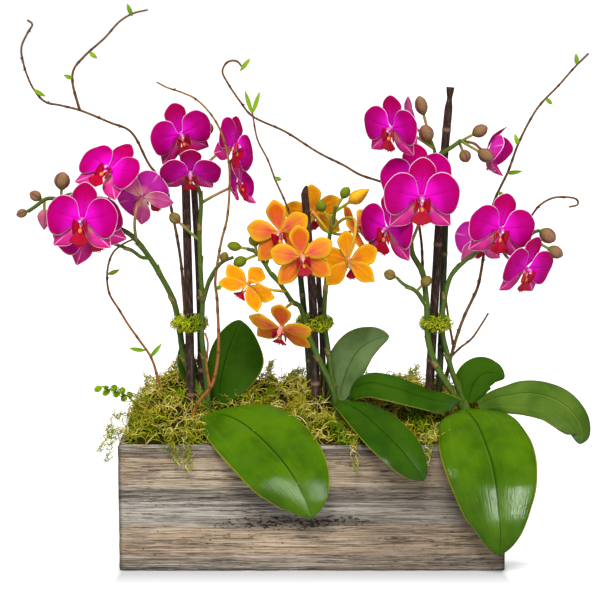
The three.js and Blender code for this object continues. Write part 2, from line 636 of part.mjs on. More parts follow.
// Tufts of moss: foot and tip of each, hanging at the left end and over the front, standing at the top
const tufts = [
  [[-128, -27, 106], [-156, -33, 109], [-169, -34, 92]],
  [[-126, -10, 112], [-155, -12, 116], [-166, -16, 100]],
  [[-126, -34, 104], [-152, -50, 110], [-160, -59, 92]],
  [[-118, -6, 120], [-146, -11, 133], [-160, -10, 139]],
  [[-112, 22, 140], [-112, 20, 150], [-107, 18, 158]], [[-100, 30, 134], [-98, 32, 148], [-95, 33, 154]],
  [[-116, 8, 124], [-130, 8, 139], [-136, 6, 148]], [[-33, 30, 134], [-35, 30, 144], [-33, 28, 152]],
  [[-14, 28, 134], [-14, 28, 142], [-7, 26, 147]], [[-62, 32, 132], [-58, 32, 142], [-52, 32, 146]],
  [[14, 32, 132], [16, 31, 142], [20, 30, 147]], [[84, 28, 130], [82, 28, 141], [86, 27, 149]],
  [[-112, -40, 110], [-110, -55, 107], [-106, -58, 90]], [[-100, -40, 110], [-98, -55, 107], [-97, -58, 84]],
  [[28, -26, 108], [32, -53, 109], [34, -58, 84]], [[96, -26, 108], [93, -53, 108], [90, -58, 88]],
  [[-20, 40, 112], [-22, 55, 107], [-24, 58, 90]], [[70, 40, 112], [74, 55, 107], [76, 58, 88]],
];
function mossTufts() {
  return tufts.map(([foot, bend, tip]) => bar([foot, bend, tip], 3.2, 0.9, 4, 20));
}

// A collar of moss round the stems and stakes of one plant, with a lumpy outside. Its opening is the
// tight outline round all that passes through it.
function tieSolid({ centre, halfWidth, halfDepth, halfHeight }, passages) {
  const geometry = new THREE.SphereGeometry(1, 10, 4);
  geometry.rotateX(Math.PI / 2);
  const places = geometry.attributes.position;
  for (let i = 0; i < places.count; i += 1) {
    const [x, y, z] = [places.getX(i), places.getY(i), places.getZ(i)];
    const lump = 1 + 0.05 * Math.sin(3 * Math.atan2(y, x) + 4 * z);
    places.setXYZ(
      i, centre[0] + x * halfWidth * lump, centre[1] + y * halfDepth * lump, centre[2] + z * halfHeight,
    );
  }
  const span = block(2 * halfWidth, 2 * halfDepth, 2.4 * halfHeight, ...centre);
  return solidOf(geometry).subtract(span.intersect(passages).hull().simplify(clearance / 2));
}

// Where each collar goes and how large it is
const ties = {
  left_moss_tie: { centre: [-97.5, 0.5, 190], halfWidth: 16.5, halfDepth: 15, halfHeight: 7 },
  middle_moss_tie: { centre: [2, 4, 190], halfWidth: 16, halfDepth: 22.5, halfHeight: 7 },
  right_moss_tie: { centre: [99, 0.5, 190], halfWidth: 13.5, halfDepth: 14.5, halfHeight: 7 },
};

// One petal or sepal in the bloom's own frame: X right, Y up, Z towards the viewer.
function tepal({ angle, length, width, widest, roundness, lift, lean, arch, rows }) {
  const direction = new THREE.Vector3(Math.cos(angle), Math.sin(angle), 0);
  const side = new THREE.Vector3(Math.sin(angle), -Math.cos(angle), 0);
  return sheet(2, rows, (along, across, face) => {
    const outline = along > 0.999 ? 0 : bladeOutline(along, widest, roundness, 0.006);
    const reach = tepalStart + (length - tepalStart) * along;
    const lifted = lift + length * along * along * Math.tan(lean);
    const forward = lifted + arch * Math.sin(Math.PI * along) - 0.06 * width * across * across;
    return direction.clone().multiplyScalar(reach)
      .addScaledVector(side, across * outline * width)
      .add(new THREE.Vector3(0, 0, forward + 0.5 * face * bladeThickness));
  });
}

// Shapes of the two kinds of bloom, for a reach of 28 mm from middle to petal tip
const bloomKinds = {
  magenta: {
    dorsal: { length: 31, width: 9.8, widest: 0.56, roundness: 0.75 },
    petal: { length: 30, width: 15, widest: 0.52, roundness: 0.6, angle: 15 },
    lateral: { length: 32, width: 8.4, widest: 0.5, roundness: 0.8, angle: -43 },
    lip: { length: 21, width: 7.5, lobeWidth: 4.4, lobeDrop: 6.4 }, colour: colours.magenta,
  },
  orange: {
    dorsal: { length: 28, width: 8.8, widest: 0.64, roundness: 0.75 },
    petal: { length: 29, width: 9.4, widest: 0.6, roundness: 0.8, angle: 18 },
    lateral: { length: 32, width: 8.6, widest: 0.56, roundness: 0.85, angle: -42 },
    lip: { length: 17, width: 6, lobeWidth: 3.6, lobeDrop: 5.4 }, colour: colours.orange,
  },
};
const degree = Math.PI / 180;

// The lip below the column: a middle lobe that spreads at its end and two lobes that stand up beside it.
function lipPieces(lip) {
  const middleLobe = sheet(2, 2, (along, across, face) => {
    const reach = along ** 0.55;
    const width = along > 0.999 ? 0 : lip.width * (0.3 + 1.5 * reach * reach);
    const forward = 2 + 3 * Math.sin(2.6 * reach) + 0.7 * face;
    return new THREE.Vector3(-across * width, -lipStart - (lip.length - lipStart) * reach, forward);
  });
  const sideLobes = [-1, 1].map((hand) => sheet(2, 2, (along, across, face) => {
    const width = along > 0.999 ? 0 : lip.lobeWidth * (0.7 + 0.6 * along);
    const outward = 0.8 + 4.6 * along + 0.4 * face;
    const upward = -lip.lobeDrop + hand * across * width;
    return new THREE.Vector3(hand * outward, upward, 2.4 + 5.6 * along - 0.4 * face);
  }));
  return [middleLobe, ...sideLobes];
}

// One open bloom in its own frame, scaled to its reach.
function bloomPieces(kind, cup) {
  const back = { lift: -0.9, lean: (cup - 5) * degree, arch: 0.5, rows: 3 };
  const front = { lift: 0.9, lean: cup * degree, arch: 1.2, rows: 4 };
  const { dorsal, petal, lateral } = kind;
  return [
    tepal({ ...dorsal, ...back, angle: 90 * degree }),
    tepal({ ...lateral, ...back, angle: lateral.angle * degree }),
    tepal({ ...lateral, ...back, angle: (180 - lateral.angle) * degree }),
    tepal({ ...petal, ...front, angle: petal.angle * degree }),
    tepal({ ...petal, ...front, angle: (180 - petal.angle) * degree }),
    ...lipPieces(kind.lip),
    egg([0, 0, -hubDepth], [0, 0, columnLength], 2 * hubRadius, 3, 6),
  ];
}

// Carries a bloom's own frame to its place: roll clockwise for the viewer, tilt up, turn to the right.
function bloomPlacing(bloom) {
  const scale = (bloom.reach ?? bloomReach) / bloomReach;
  return new THREE.Matrix4().makeTranslation(...bloom.at)
    .multiply(new THREE.Matrix4().makeRotationZ(bloom.turn * degree))
    .multiply(new THREE.Matrix4().makeRotationX((90 - bloom.tilt) * degree))
    .multiply(new THREE.Matrix4().makeRotationZ(-(bloom.roll ?? 0) * degree))
    .multiply(new THREE.Matrix4().makeScale(scale, scale, scale));
}

// The solid of one bloom, moved to its place.
function bloomSolid(kind, bloom) {
  const shape = fuse(bloomPieces(kind, bloom.cup ?? 4));
  return shape.transform(bloomPlacing(bloom).toArray());
}

// The stalk of a bloom, from its spike to just behind the bloom.
function stalkSolid(bloom) {
  const placing = bloomPlacing(bloom);
  const scale = (bloom.reach ?? bloomReach) / bloomReach;
  const end = new THREE.Vector3(0, 0, -hubDepth - 0.45 / scale).applyMatrix4(placing);
  const before = new THREE.Vector3(0, 0, -hubDepth - 4).applyMatrix4(placing);
  return bar([...bloom.stalk, before.toArray(), end.toArray()], 1.3, 1.1, 4, 20);
}

// A bud turned round its own axis, from the foot of its short stalk to its tip.
function budSolid(bud) {
  const start = new THREE.Vector3(...bud.foot);
  const axis = new THREE.Vector3(...bud.tip).sub(start);
  const length = axis.length();
  const stalk = Math.max(0.4, length - bud.long);
  const profile = [
    [0, 0], [budStalkRadius, 0], [budStalkRadius, stalk], [bud.width / 2, stalk + 0.38 * bud.long],
    [0.38 * bud.width, stalk + 0.78 * bud.long], [0, length],
  ].map(([radius, along]) => new THREE.Vector2(radius, along));
  const geometry = new THREE.LatheGeometry(profile, 5);
  geometry.applyQuaternion(
    new THREE.Quaternion().setFromUnitVectors(new THREE.Vector3(0, 1, 0), axis.normalize()),
  );
  geometry.translate(...bud.foot);
  return solidOf(geometry);
}

// The crown of a plant, with room round it where it sits in the moss.
function crownSolid([x, y], room = 0) {
  return egg([x, y, crownFoot - room], [x, y, crownTop + room], crownWidth + 2 * room, 4, 6);
}

// One plant without its leaves and open blooms.
function plantSolid(plant) {
  return fuse([
    crownSolid(plant.crown),
    ...plant.spikes.map((spike) => bar(spike.route, ...spike.radius)),
    ...plant.blooms.map(stalkSolid),
    ...plant.buds.map(budSolid),
  ]);
}

// One small willow leaf from its foot to its tip.
function twigLeaf([foot, tip]) {
  const [start, end] = [new THREE.Vector3(...foot), new THREE.Vector3(...tip)];
  const direction = end.clone().sub(start);
  const side = new THREE.Vector3().crossVectors(direction, new THREE.Vector3(0, -1, 0)).normalize();
  const facing = new THREE.Vector3().crossVectors(side, direction).normalize();
  return sheet(2, 2, (along, across, face) => {
    const width = 2.4 * bladeOutline(along, 0.5, 0.8, 0.1);
    return start.clone().addScaledVector(direction, along)
      .addScaledVector(side, across * width)
      .addScaledVector(facing, 0.5 * face);
  });
}

// One willow branch with its limbs and small leaves.
function branchSolid(branch) {
  return fuse([
    ...branch.limbs.map((limb) => bar(limb.route, ...limb.radius, twigSides, twigStride)),
    ...branch.leaves.map(twigLeaf),
  ]);
}

// Room for a bar that goes through moss or bark.
function roomFor({ route, radius: [startRadius, endRadius] }, sides, stride) {
  return bar(route, startRadius + clearance, endRadius + clearance, sides, stride);
}

// Room for all the stakes, limbs and spikes, along their whole length.
function passageRooms() {
  return [
    ...Object.values(stakes).map((stake) => roomFor(stake, stakeSides, stakeStride)),
    ...Object.values(branches).map((branch) => roomFor(branch.limbs[0], twigSides, twigStride)),
    ...Object.values(plants).flatMap((plant) => (
      plant.spikes.filter((spike) => spike.route[0][2] < 130)
        .map((spike) => roomFor(spike, spikeSides, spikeStride)))),
  ];
}

// Builds the model in order from the box to the blooms.
function buildModel() {
  addBoards();
  addLiner();
  const passages = wasm.Manifold.union(passageRooms());
  addPart('bark_mix', fuse([barkSolid().subtract(passages)]), colours.bark, 0.95);
  const crowns = Object.values(plants).map((plant) => crownSolid(plant.crown, clearance));
  const leafRooms = Object.values(leaves).map((leaf) => leafSolid(leaf, 2 * clearance));
  const moss = mossSolid().subtract(wasm.Manifold.union([passages, ...crowns, ...leafRooms]));
  addPart('moss_bed', fuse([moss]), colours.moss, 0.95);
  for (const [name, stake] of Object.entries(stakes)) {
    addPart(name, bar(stake.route, ...stake.radius, stakeSides, stakeStride), stake.colour, 0.5);
  }
  for (const [name, branch] of Object.entries(branches)) {
    addPart(name, branchSolid(branch), colours.willow, 0.7);
  }
  for (const [name, leaf] of Object.entries(leaves)) {
    addPart(name, leafSolid(leaf), colours.leaf, 0.35);
  }
  for (const [side, plant] of Object.entries(plants)) {
    addPart(`${side}_plant_stems`, plantSolid(plant), colours.stem, 0.55);
    const kind = bloomKinds[plant.kind];
    plant.blooms.forEach((bloom, index) => {
      addPart(`${side}_bloom_${index + 1}`, bloomSolid(kind, bloom), kind.colour, 0.5);
    });
  }
  for (const [name, tie] of Object.entries(ties)) {
    addPart(name, fuse([tieSolid(tie, passages)]), colours.tie, 0.95);
  }
}

buildModel();

export default group;
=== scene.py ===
"""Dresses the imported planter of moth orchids: boards, moss, canes, willow, leaves, stems and blooms."""

import logging
import math
from bisect import bisect_left
from dataclasses import dataclass
from enum import Enum
from random import Random
from typing import Callable, Iterator, Sequence

import bmesh
import bpy
from mathutils import Matrix, Vector, noise


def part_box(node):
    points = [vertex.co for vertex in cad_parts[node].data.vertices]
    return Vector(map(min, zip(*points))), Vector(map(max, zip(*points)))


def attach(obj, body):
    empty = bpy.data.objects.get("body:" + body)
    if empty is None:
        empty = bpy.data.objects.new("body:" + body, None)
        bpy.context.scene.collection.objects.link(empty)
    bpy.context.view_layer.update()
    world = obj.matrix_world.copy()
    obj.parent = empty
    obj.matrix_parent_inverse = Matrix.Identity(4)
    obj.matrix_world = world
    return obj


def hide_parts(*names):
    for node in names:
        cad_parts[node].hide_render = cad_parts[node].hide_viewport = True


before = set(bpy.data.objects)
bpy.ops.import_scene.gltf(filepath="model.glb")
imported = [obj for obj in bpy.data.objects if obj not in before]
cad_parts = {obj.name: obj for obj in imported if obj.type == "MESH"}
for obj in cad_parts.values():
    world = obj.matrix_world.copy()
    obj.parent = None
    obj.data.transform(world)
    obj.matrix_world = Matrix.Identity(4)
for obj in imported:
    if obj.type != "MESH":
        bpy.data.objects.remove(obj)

LOG = logging.getLogger("planter")
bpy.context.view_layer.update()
MM = 0.001
GRAIN = "grain"
BODY = "root"
# Nearness from which a place counts as on its blade's outline
AT_RIM = 0.999
# Reach of a bloom of full size from its middle, in millimetres
BLOOM_REACH = 28.0

Place = Sequence[float]
Colour = tuple[float, float, float]
Profile = Callable[[float], float]
Material = bpy.types.Material
Socket = bpy.types.NodeSocket


class Axis(Enum):
    """The way the grain of a board runs."""

    LENGTHWISE = 0
    CROSSWISE = 1


class Kind(Enum):
    """The two kinds of bloom."""

    MAGENTA = "magenta_petal"
    ORANGE = "orange_petal"


@dataclass(frozen=True)
class Limb:
    """A round bar: its route and its radius at both ends, in millimetres."""

    radius: Sequence[float]
    route: Sequence[Place]


@dataclass(frozen=True)
class Cane:
    """A cane stake with the heights of its nodes."""

    node: str
    limb: Limb
    slot: str
    rings: Sequence[float]
    slant: float = 0.0
    neck: float = 0.0


@dataclass(frozen=True)
class Branch:
    """A willow branch with its limbs and small leaves."""

    node: str
    limbs: Sequence[Limb]
    leaves: Sequence[tuple[Place, Place]]


@dataclass(frozen=True)
class Bloom:
    """Where a bloom is, how it faces, how large it is and the way of its stalk."""

    at: Place
    turn: float
    tilt: float
    stalk: Sequence[Place]
    roll: float = 0.0
    reach: float = BLOOM_REACH
    cup: float = 4.0

    def placing(self) -> Matrix:
        """Carries the bloom's own frame, in metres, to its place.

        Returns:
            The matrix that does so.
        """
        return (
            Matrix.Translation(Vector(self.at) * MM)
            @ Matrix.Rotation(math.radians(self.turn), 4, "Z")
            @ Matrix.Rotation(math.radians(90 - self.tilt), 4, "X")
            @ Matrix.Rotation(math.radians(-self.roll), 4, "Z")
            @ Matrix.Scale(self.reach / BLOOM_REACH, 4)
        )


@dataclass(frozen=True)
class Bud:
    """A closed bud from the foot of its stalk to its tip."""

    foot: Place
    tip: Place
    width: float
    long: float
    opening: bool = False
    young: bool = False


@dataclass(frozen=True)
class Plant:
    """One orchid: its crown, flower spikes, open blooms and buds."""

    side: str
    kind: Kind
    crown: Sequence[float]
    spikes: Sequence[Limb]
    blooms: Sequence[Bloom]
    buds: Sequence[Bud]


@dataclass(frozen=True)
class Leaf:
    """A long leaf folded at its midrib, along its spine."""

    node: str
    spine: Sequence[Place]
    width: float
    facing: Sequence[Place]
    fold: float
    droop: float
    widest: float
    round: float
    left_width: float = 0.0


@dataclass(frozen=True)
class Tie:
    """A collar of moss round the stems of one plant."""

    node: str
    centre: Place
    half: Place


CANES = [
    Cane("left_stake_tall", Limb([3.7, 3.3], [[-97, 0, 40], [-98, 0, 180], [-100.5, 0, 331]]), "cane",
        rings=[92, 228, 300]),
    Cane("left_stake_short", Limb([3.3, 2.6], [
        [-88, 12, 40], [-89, 11, 124], [-90.5, 8, 226], [-94, 8, 300],
    ]), "cane", rings=[110, 170]),
    Cane("middle_stake_tall", Limb([3.9, 3], [
        [4, 0, 40], [3, 0, 134], [1, -1, 200], [-3, -2, 262], [-6, -2, 296],
    ]), "cane", rings=[101, 196], slant=9),
    Cane("middle_stake_short", Limb([2.6, 2], [[12, 9, 40], [9, 8.5, 160], [5, 7, 232]]), "cane",
        rings=[80, 160]),
    Cane("middle_stake_dark", Limb([2.8, 2.3], [[2, 13, 40], [-2, 11, 150], [-10, 8, 236]]), "green_cane",
        rings=[118, 172]),
    Cane("right_stake_tall", Limb([3.8, 3.2], [
        [91, 1, 40], [95, 1, 135], [99, 1, 219], [103, 1, 300], [109, 1, 378],
    ]), "cane", rings=[120, 214, 305], neck=9),
    Cane("right_stake_green", Limb([2.9, 2.4], [[101, 9, 40], [104, 9, 160], [107, 9, 278]]),
        "green_cane", rings=[130, 205]),
]

BRANCHES = [
    Branch("branch_left_hooked", [
        Limb([1.9, 0.8], [
            [-92, 25, 70], [-96, 26, 138], [-102, 25, 181], [-106, 22, 238], [-112, 20, 275],
            [-118, 20, 299], [-130, 20, 315], [-145, 20, 342], [-161, 20, 349], [-185, 18, 359],
            [-200, 16, 363], [-212, 14, 366], [-221, 12, 377], [-228, 10, 397], [-229, 10, 409],
            [-224, 10, 420], [-220, 10, 427], [-224, 10, 430],
        ]),
        Limb([1.3, 0.7], [
            [-185, 18, 359], [-190, 16, 381], [-189, 16, 391], [-180, 16, 402], [-164, 16, 416],
            [-152, 18, 429], [-142, 18, 435], [-130, 20, 438],
        ]),
    ], leaves=[
        [[-189, 16, 384], [-197, 16, 387]], [[-176, 16, 405], [-170, 15, 400]],
        [[-142, 18, 433], [-146, 18, 443]], [[-221, 12, 376], [-211, 13, 370]],
    ]),
    Branch("branch_left_low", [Limb([1.5, 0.8], [
        [-118, 8, 74], [-122, 9, 125], [-129, 10, 158], [-139, 10, 174], [-148, 10, 187], [-155, 10, 199],
        [-163, 10, 213], [-164, 10, 232], [-159, 10, 246], [-150, 12, 253], [-141, 14, 257],
    ])], leaves=[
        [[-164, 10, 228], [-154, 10, 232]], [[-134, 10, 166], [-148, 10, 168]],
        [[-131, 10, 160], [-121, 10, 172]],
    ]),
    Branch("branch_left_front", [
        Limb([1.9, 0.7], [
            [-104, -16, 82], [-92, -15, 126], [-80, -16, 142], [-75, -17, 163], [-74, -18, 179],
            [-75, -22, 215], [-76, -26, 227], [-71, -30, 259], [-66, -32, 279], [-64, -33, 314],
            [-66, -31, 330], [-70, -27, 343], [-77, -22, 356], [-90, -14, 369], [-101, -8, 374],
            [-114, -2, 378], [-122, 0, 382],
        ]),
        Limb([1.2, 0.8], [[-81, -16, 140], [-84, -12, 158], [-83, -10, 176], [-85, -11, 184]]),
    ], leaves=[[[-75, -24, 221], [-70, -27, 226]]]),
    Branch("branch_middle", [Limb([1.6, 0.7], [
        [8, 24, 74], [8, 24, 137], [6, 21, 200], [0, 16, 228], [-8, 8, 246], [-16, 2, 272], [-21, 0, 287],
        [-29, 0, 305], [-35, 0, 321], [-43, 0, 337], [-47, 0, 358],
    ])], leaves=[
        [[-47, 0, 357], [-53, 0, 376]], [[-47, 0, 357], [-41, 0, 375]], [[-30, 0, 307], [-24, 0, 305]],
    ]),
    Branch("branch_arching", [Limb([1.7, 0.8], [
        [98, 22, 72], [98, 20, 140], [95, 18, 190], [90, 18, 227], [88, 20, 256], [82, 22, 283],
        [70, 21, 296], [55, 18, 302], [38, 15, 308], [26, 15, 315], [6, 15, 325], [-21, 15, 342],
        [-48, 15, 355], [-57, 15, 366], [-67, 15, 381], [-71, 15, 390], [-67, 15, 397], [-60, 15, 398],
        [-55, 15, 393],
    ])], leaves=[[[-57, 15, 390], [-49, 15, 400]]]),
    Branch("branch_right", [
        Limb([2, 0.8], [
            [104, 16, 72], [107, 15, 128], [111, 14, 151], [116, 13, 172], [123, 13, 193], [130, 14, 208],
            [134, 16, 217], [139, 20, 244], [142, 20, 268], [147, 18, 288], [157, 15, 311],
            [163, 11, 330], [171, 10, 348], [180, 10, 363], [195, 10, 379], [208, 10, 394],
            [218, 10, 404],
        ]),
        Limb([1.2, 0.8], [
            [139, 20, 245], [155, 25, 256], [175, 18, 273], [182, 14, 283], [192, 14, 289],
            [202, 14, 290], [212, 14, 288], [213, 14, 284], [206, 14, 282],
        ]),
        Limb([1.1, 0.8], [[113, 14, 160], [121, 22, 166], [130, 23, 173], [137, 21, 184], [143, 18, 195]]),
        Limb([1.2, 0.8], [[115, 13, 168], [112, 17, 184], [109, 19, 204], [107, 20, 222], [105, 20, 237]]),
    ], leaves=[
        [[209, 10, 395], [208, 10, 404]], [[185, 10, 369], [190, 10, 364]],
        [[164, 11, 331], [161, 11, 341]], [[155, 15.5, 309], [168, 12, 311]],
        [[149, 17.5, 294], [156, 14, 289]],
    ]),
]

PLANTS = [
    Plant("left", Kind.MAGENTA, [-84, -2], spikes=[
        Limb([2.9, 1.5], [
            [-85, -2, 118], [-87, 1, 127], [-94, 6, 139], [-103, 8, 160], [-107, 7, 188], [-111, 3, 208],
            [-121, 0, 229], [-129, -2, 243], [-142, -8, 261], [-152, -8, 267], [-168, -4, 272],
            [-180, -4, 284], [-189, -6, 294], [-199, -8, 291], [-209, -9, 291], [-218, -10, 285],
            [-224, -10, 281],
        ]),
        Limb([1.6, 1.2], [[-129, -2, 243], [-135, -6, 244], [-143, -8, 250], [-158, -12, 256]]),
        Limb([2.4, 1.5], [
            [-83, -1, 117], [-84, -1, 135], [-86, -3, 160], [-88, -6, 181], [-87, -8, 210],
            [-88, -8, 226], [-89, -6, 262], [-88, -6, 293], [-92, -7, 305], [-97, -7, 321],
            [-99, -7, 330],
        ]),
        Limb([2, 1.3], [[-87, -8, 208], [-80, -10, 229], [-71, -12, 241], [-62, -12, 245]]),
    ], blooms=[
        Bloom([-177, -45, 278], -12, 8, [[-181, -4, 285], [-174, -12, 292], [-174, -26, 292.5]], roll=2,
            reach=27),
        Bloom([-175, -20, 269], 8, 5, [[-160, -6, 269]], roll=-28, reach=27),
        Bloom([-158, -25, 315], -20, 40, [[-170, -4, 274], [-160, -5, 292]], roll=20, reach=25.5),
        Bloom([-133, -12, 293], 160, 25, [[-139, -7, 257], [-139, -22, 272], [-137, -28, 285]], roll=34,
            reach=23.5),
        Bloom([-103, -15, 342], 22, -12, [[-98, -7, 326], [-101, -5, 337]], roll=-18, reach=24),
        Bloom([-95, -22, 313], 5, -42, [[-94, -7, 312], [-94, -10, 321]], reach=23),
        Bloom([-62, 5, 331], 61, 8, [[-92, -7, 306], [-81, 1, 320]], roll=34, reach=25),
        Bloom([-60, 13, 300], 68, 24, [[-88, -6, 287], [-78, 4, 292]], roll=13, cup=14, reach=20),
    ], buds=[
        Bud([-198, -8, 292], [-196, -8, 312], 12.5, 14),
        Bud([-211, -9, 289], [-222, -10, 296], 8.5, 10),
        Bud([-222, -10, 282], [-233, -10, 278], 7, 9),
        Bud([-211, -9, 289], [-211, -14, 267], 11, 16, opening=True),
        Bud([-97, -7, 322], [-80, 8, 349], 9.5, 10),
        Bud([-90, -6, 258], [-112, -9, 279], 9, 10, young=True),
        Bud([-71, -12, 240], [-68, -12, 249], 7, 8.5, young=True),
    ]),
    Plant("middle", Kind.ORANGE, [21, 0], spikes=[
        Limb([2.7, 1.5], [
            [20, -3, 120], [17, -5, 136], [7, -9, 159], [-1, -11, 178], [-6, -12, 195], [-10, -12, 206],
            [-15, -13, 209], [-21, -16, 218], [-27, -18, 227], [-32, -18, 232], [-38, -14, 241],
            [-45, -10, 249], [-51, -8, 251],
        ]),
        Limb([2.6, 1.5], [
            [20, 2, 120], [17, 3, 139], [13, 2, 168], [10, 1, 191], [10, 1, 204], [12, 2, 229],
            [14, 2, 249], [14, 2, 260], [16, 2, 268], [19, 2, 284],
        ]),
    ], blooms=[
        Bloom([-8, -45, 250], 8, -5, [[12, 2, 238], [3, -22, 242]], roll=-8, reach=25),
        Bloom([-25, -22, 266], -18, 0, [[-36, -15, 239], [-32, -10, 252]], roll=-12, reach=26),
        Bloom([1, 15, 277], 195, 6, [[14, 2, 262], [8, 3, 270]], roll=8, reach=24),
        Bloom([-50, -40, 227], -149, -43, [[-21, -16, 218], [-23, -40, 222], [-34, -54, 226]], roll=-50,
            reach=22.7),
        Bloom([-24, -45, 194], -25, -38, [[-15, -13, 209], [-21, -28, 206]], roll=14, reach=26),
        Bloom([29, -18, 243], 155, -6, [[16, 2, 266], [25, -9, 275], [33, -22, 276], [33, -32, 264]],
            roll=8, reach=24),
        Bloom([36.5, 22, 264], 62, 30, [[15, 2, 263], [22, 14, 260]], roll=-12, cup=8, reach=22),
    ], buds=[
        Bud([-50, -8, 251], [-67, -8, 254], 7.5, 11),
        Bud([-44, -11, 248], [-46, -8, 263], 9.5, 10),
        Bud([-43, -11, 247], [-62, -10, 239], 8.7, 11),
        Bud([15, 2, 270], [5, 5, 288], 8.7, 9.5),
        Bud([19, 2, 282], [29, 2, 299], 8, 10),
        Bud([19, 2, 280], [45, -2, 298], 11, 19, opening=True),
    ]),
    Plant("right", Kind.MAGENTA, [124, -3], spikes=[
        Limb([2.8, 1.7], [
            [122, -2, 118], [117, -6, 128], [108, -8, 142], [98, -7, 160], [93, -6, 177], [92, -6, 194],
            [91, -6, 210], [88, -6, 231], [84, -6, 239], [80, -4, 246], [78, 0, 258], [76, 5, 269],
            [79, 8, 282], [84, 8, 297], [90, 5, 309], [96, -1, 320], [103, -6, 327], [111, -4, 332],
            [117, 0, 336],
        ]),
        Limb([1.6, 1.2], [[94, 1, 317], [97, 0, 326], [94, 0, 336]]),
        Limb([2.5, 1.4], [
            [124, 2, 118], [120, 5, 132], [113, 5, 150], [108, 3, 168], [105, 0, 180], [104, -4, 194],
            [107, -6, 218], [111, -6, 230], [119, -6, 239], [129, -6, 247], [139, -6, 253],
            [149, -6, 255], [158, -8, 257], [168, -8, 257], [175, -8, 264], [180, -9, 266],
        ]),
        Limb([1.2, 1], [[167, -8, 257], [175, -10, 258], [182, -12, 255]]),
        Limb([2, 1.2], [[90, -6, 207], [82, -12, 218], [72, -14, 224], [67, -15, 229]]),
    ], blooms=[
        Bloom([84, -40, 295], 6, -3, [[79, -2, 255], [84, -14, 272], [86, -27, 286]], roll=1, reach=28.5),
        Bloom([82, -12, 307], -12, 22, [[85, 8, 298]], roll=-8, reach=27),
        Bloom([60, -18, 268], -45, 0, [[79, -2, 253], [71, -5, 262]], roll=3, reach=27),
        Bloom([62, -20, 347], -38, -8, [[96, 0, 330], [84, -2, 338]], roll=5, reach=24),
        Bloom([76, 20, 346], -115, 0, [[95, 1, 332], [88, 10, 340]], roll=0, reach=22),
        Bloom([140, 12, 327], 72, -10, [[117, 0, 336], [129, 8, 333]], roll=10, cup=35, reach=20),
        Bloom([147, -25, 269], 14, -8, [[140, -6, 253], [145, -10, 263]], roll=9, reach=26),
        Bloom([135, 8, 257], -150, 0, [[128, -6, 246], [134, -5, 252]], roll=0, reach=22),
        Bloom([168, -20, 237], 38, -18, [[149, -6, 254], [154, -8, 245]], roll=10, reach=25),
    ], buds=[
        Bud([94, 0, 334], [84, 0, 371], 10, 15),
        Bud([94, 0, 334], [87, -3, 348], 12, 14),
        Bud([116, 0, 335], [138, -1, 347], 10, 13),
        Bud([116, 0, 335], [123, 3, 319], 9.5, 10.5),
        Bud([117, 0, 336], [142, -10, 322], 11, 13.5),
        Bud([180, -9, 266], [192, -11, 258], 12, 15),
        Bud([181, -12, 255], [198, -12, 246], 10, 13),
        Bud([67, -15, 229], [57, -14, 233], 8.7, 9.5, young=True),
        Bud([83, -12, 218], [94, -10, 229], 8.7, 10, young=True),
    ]),
]

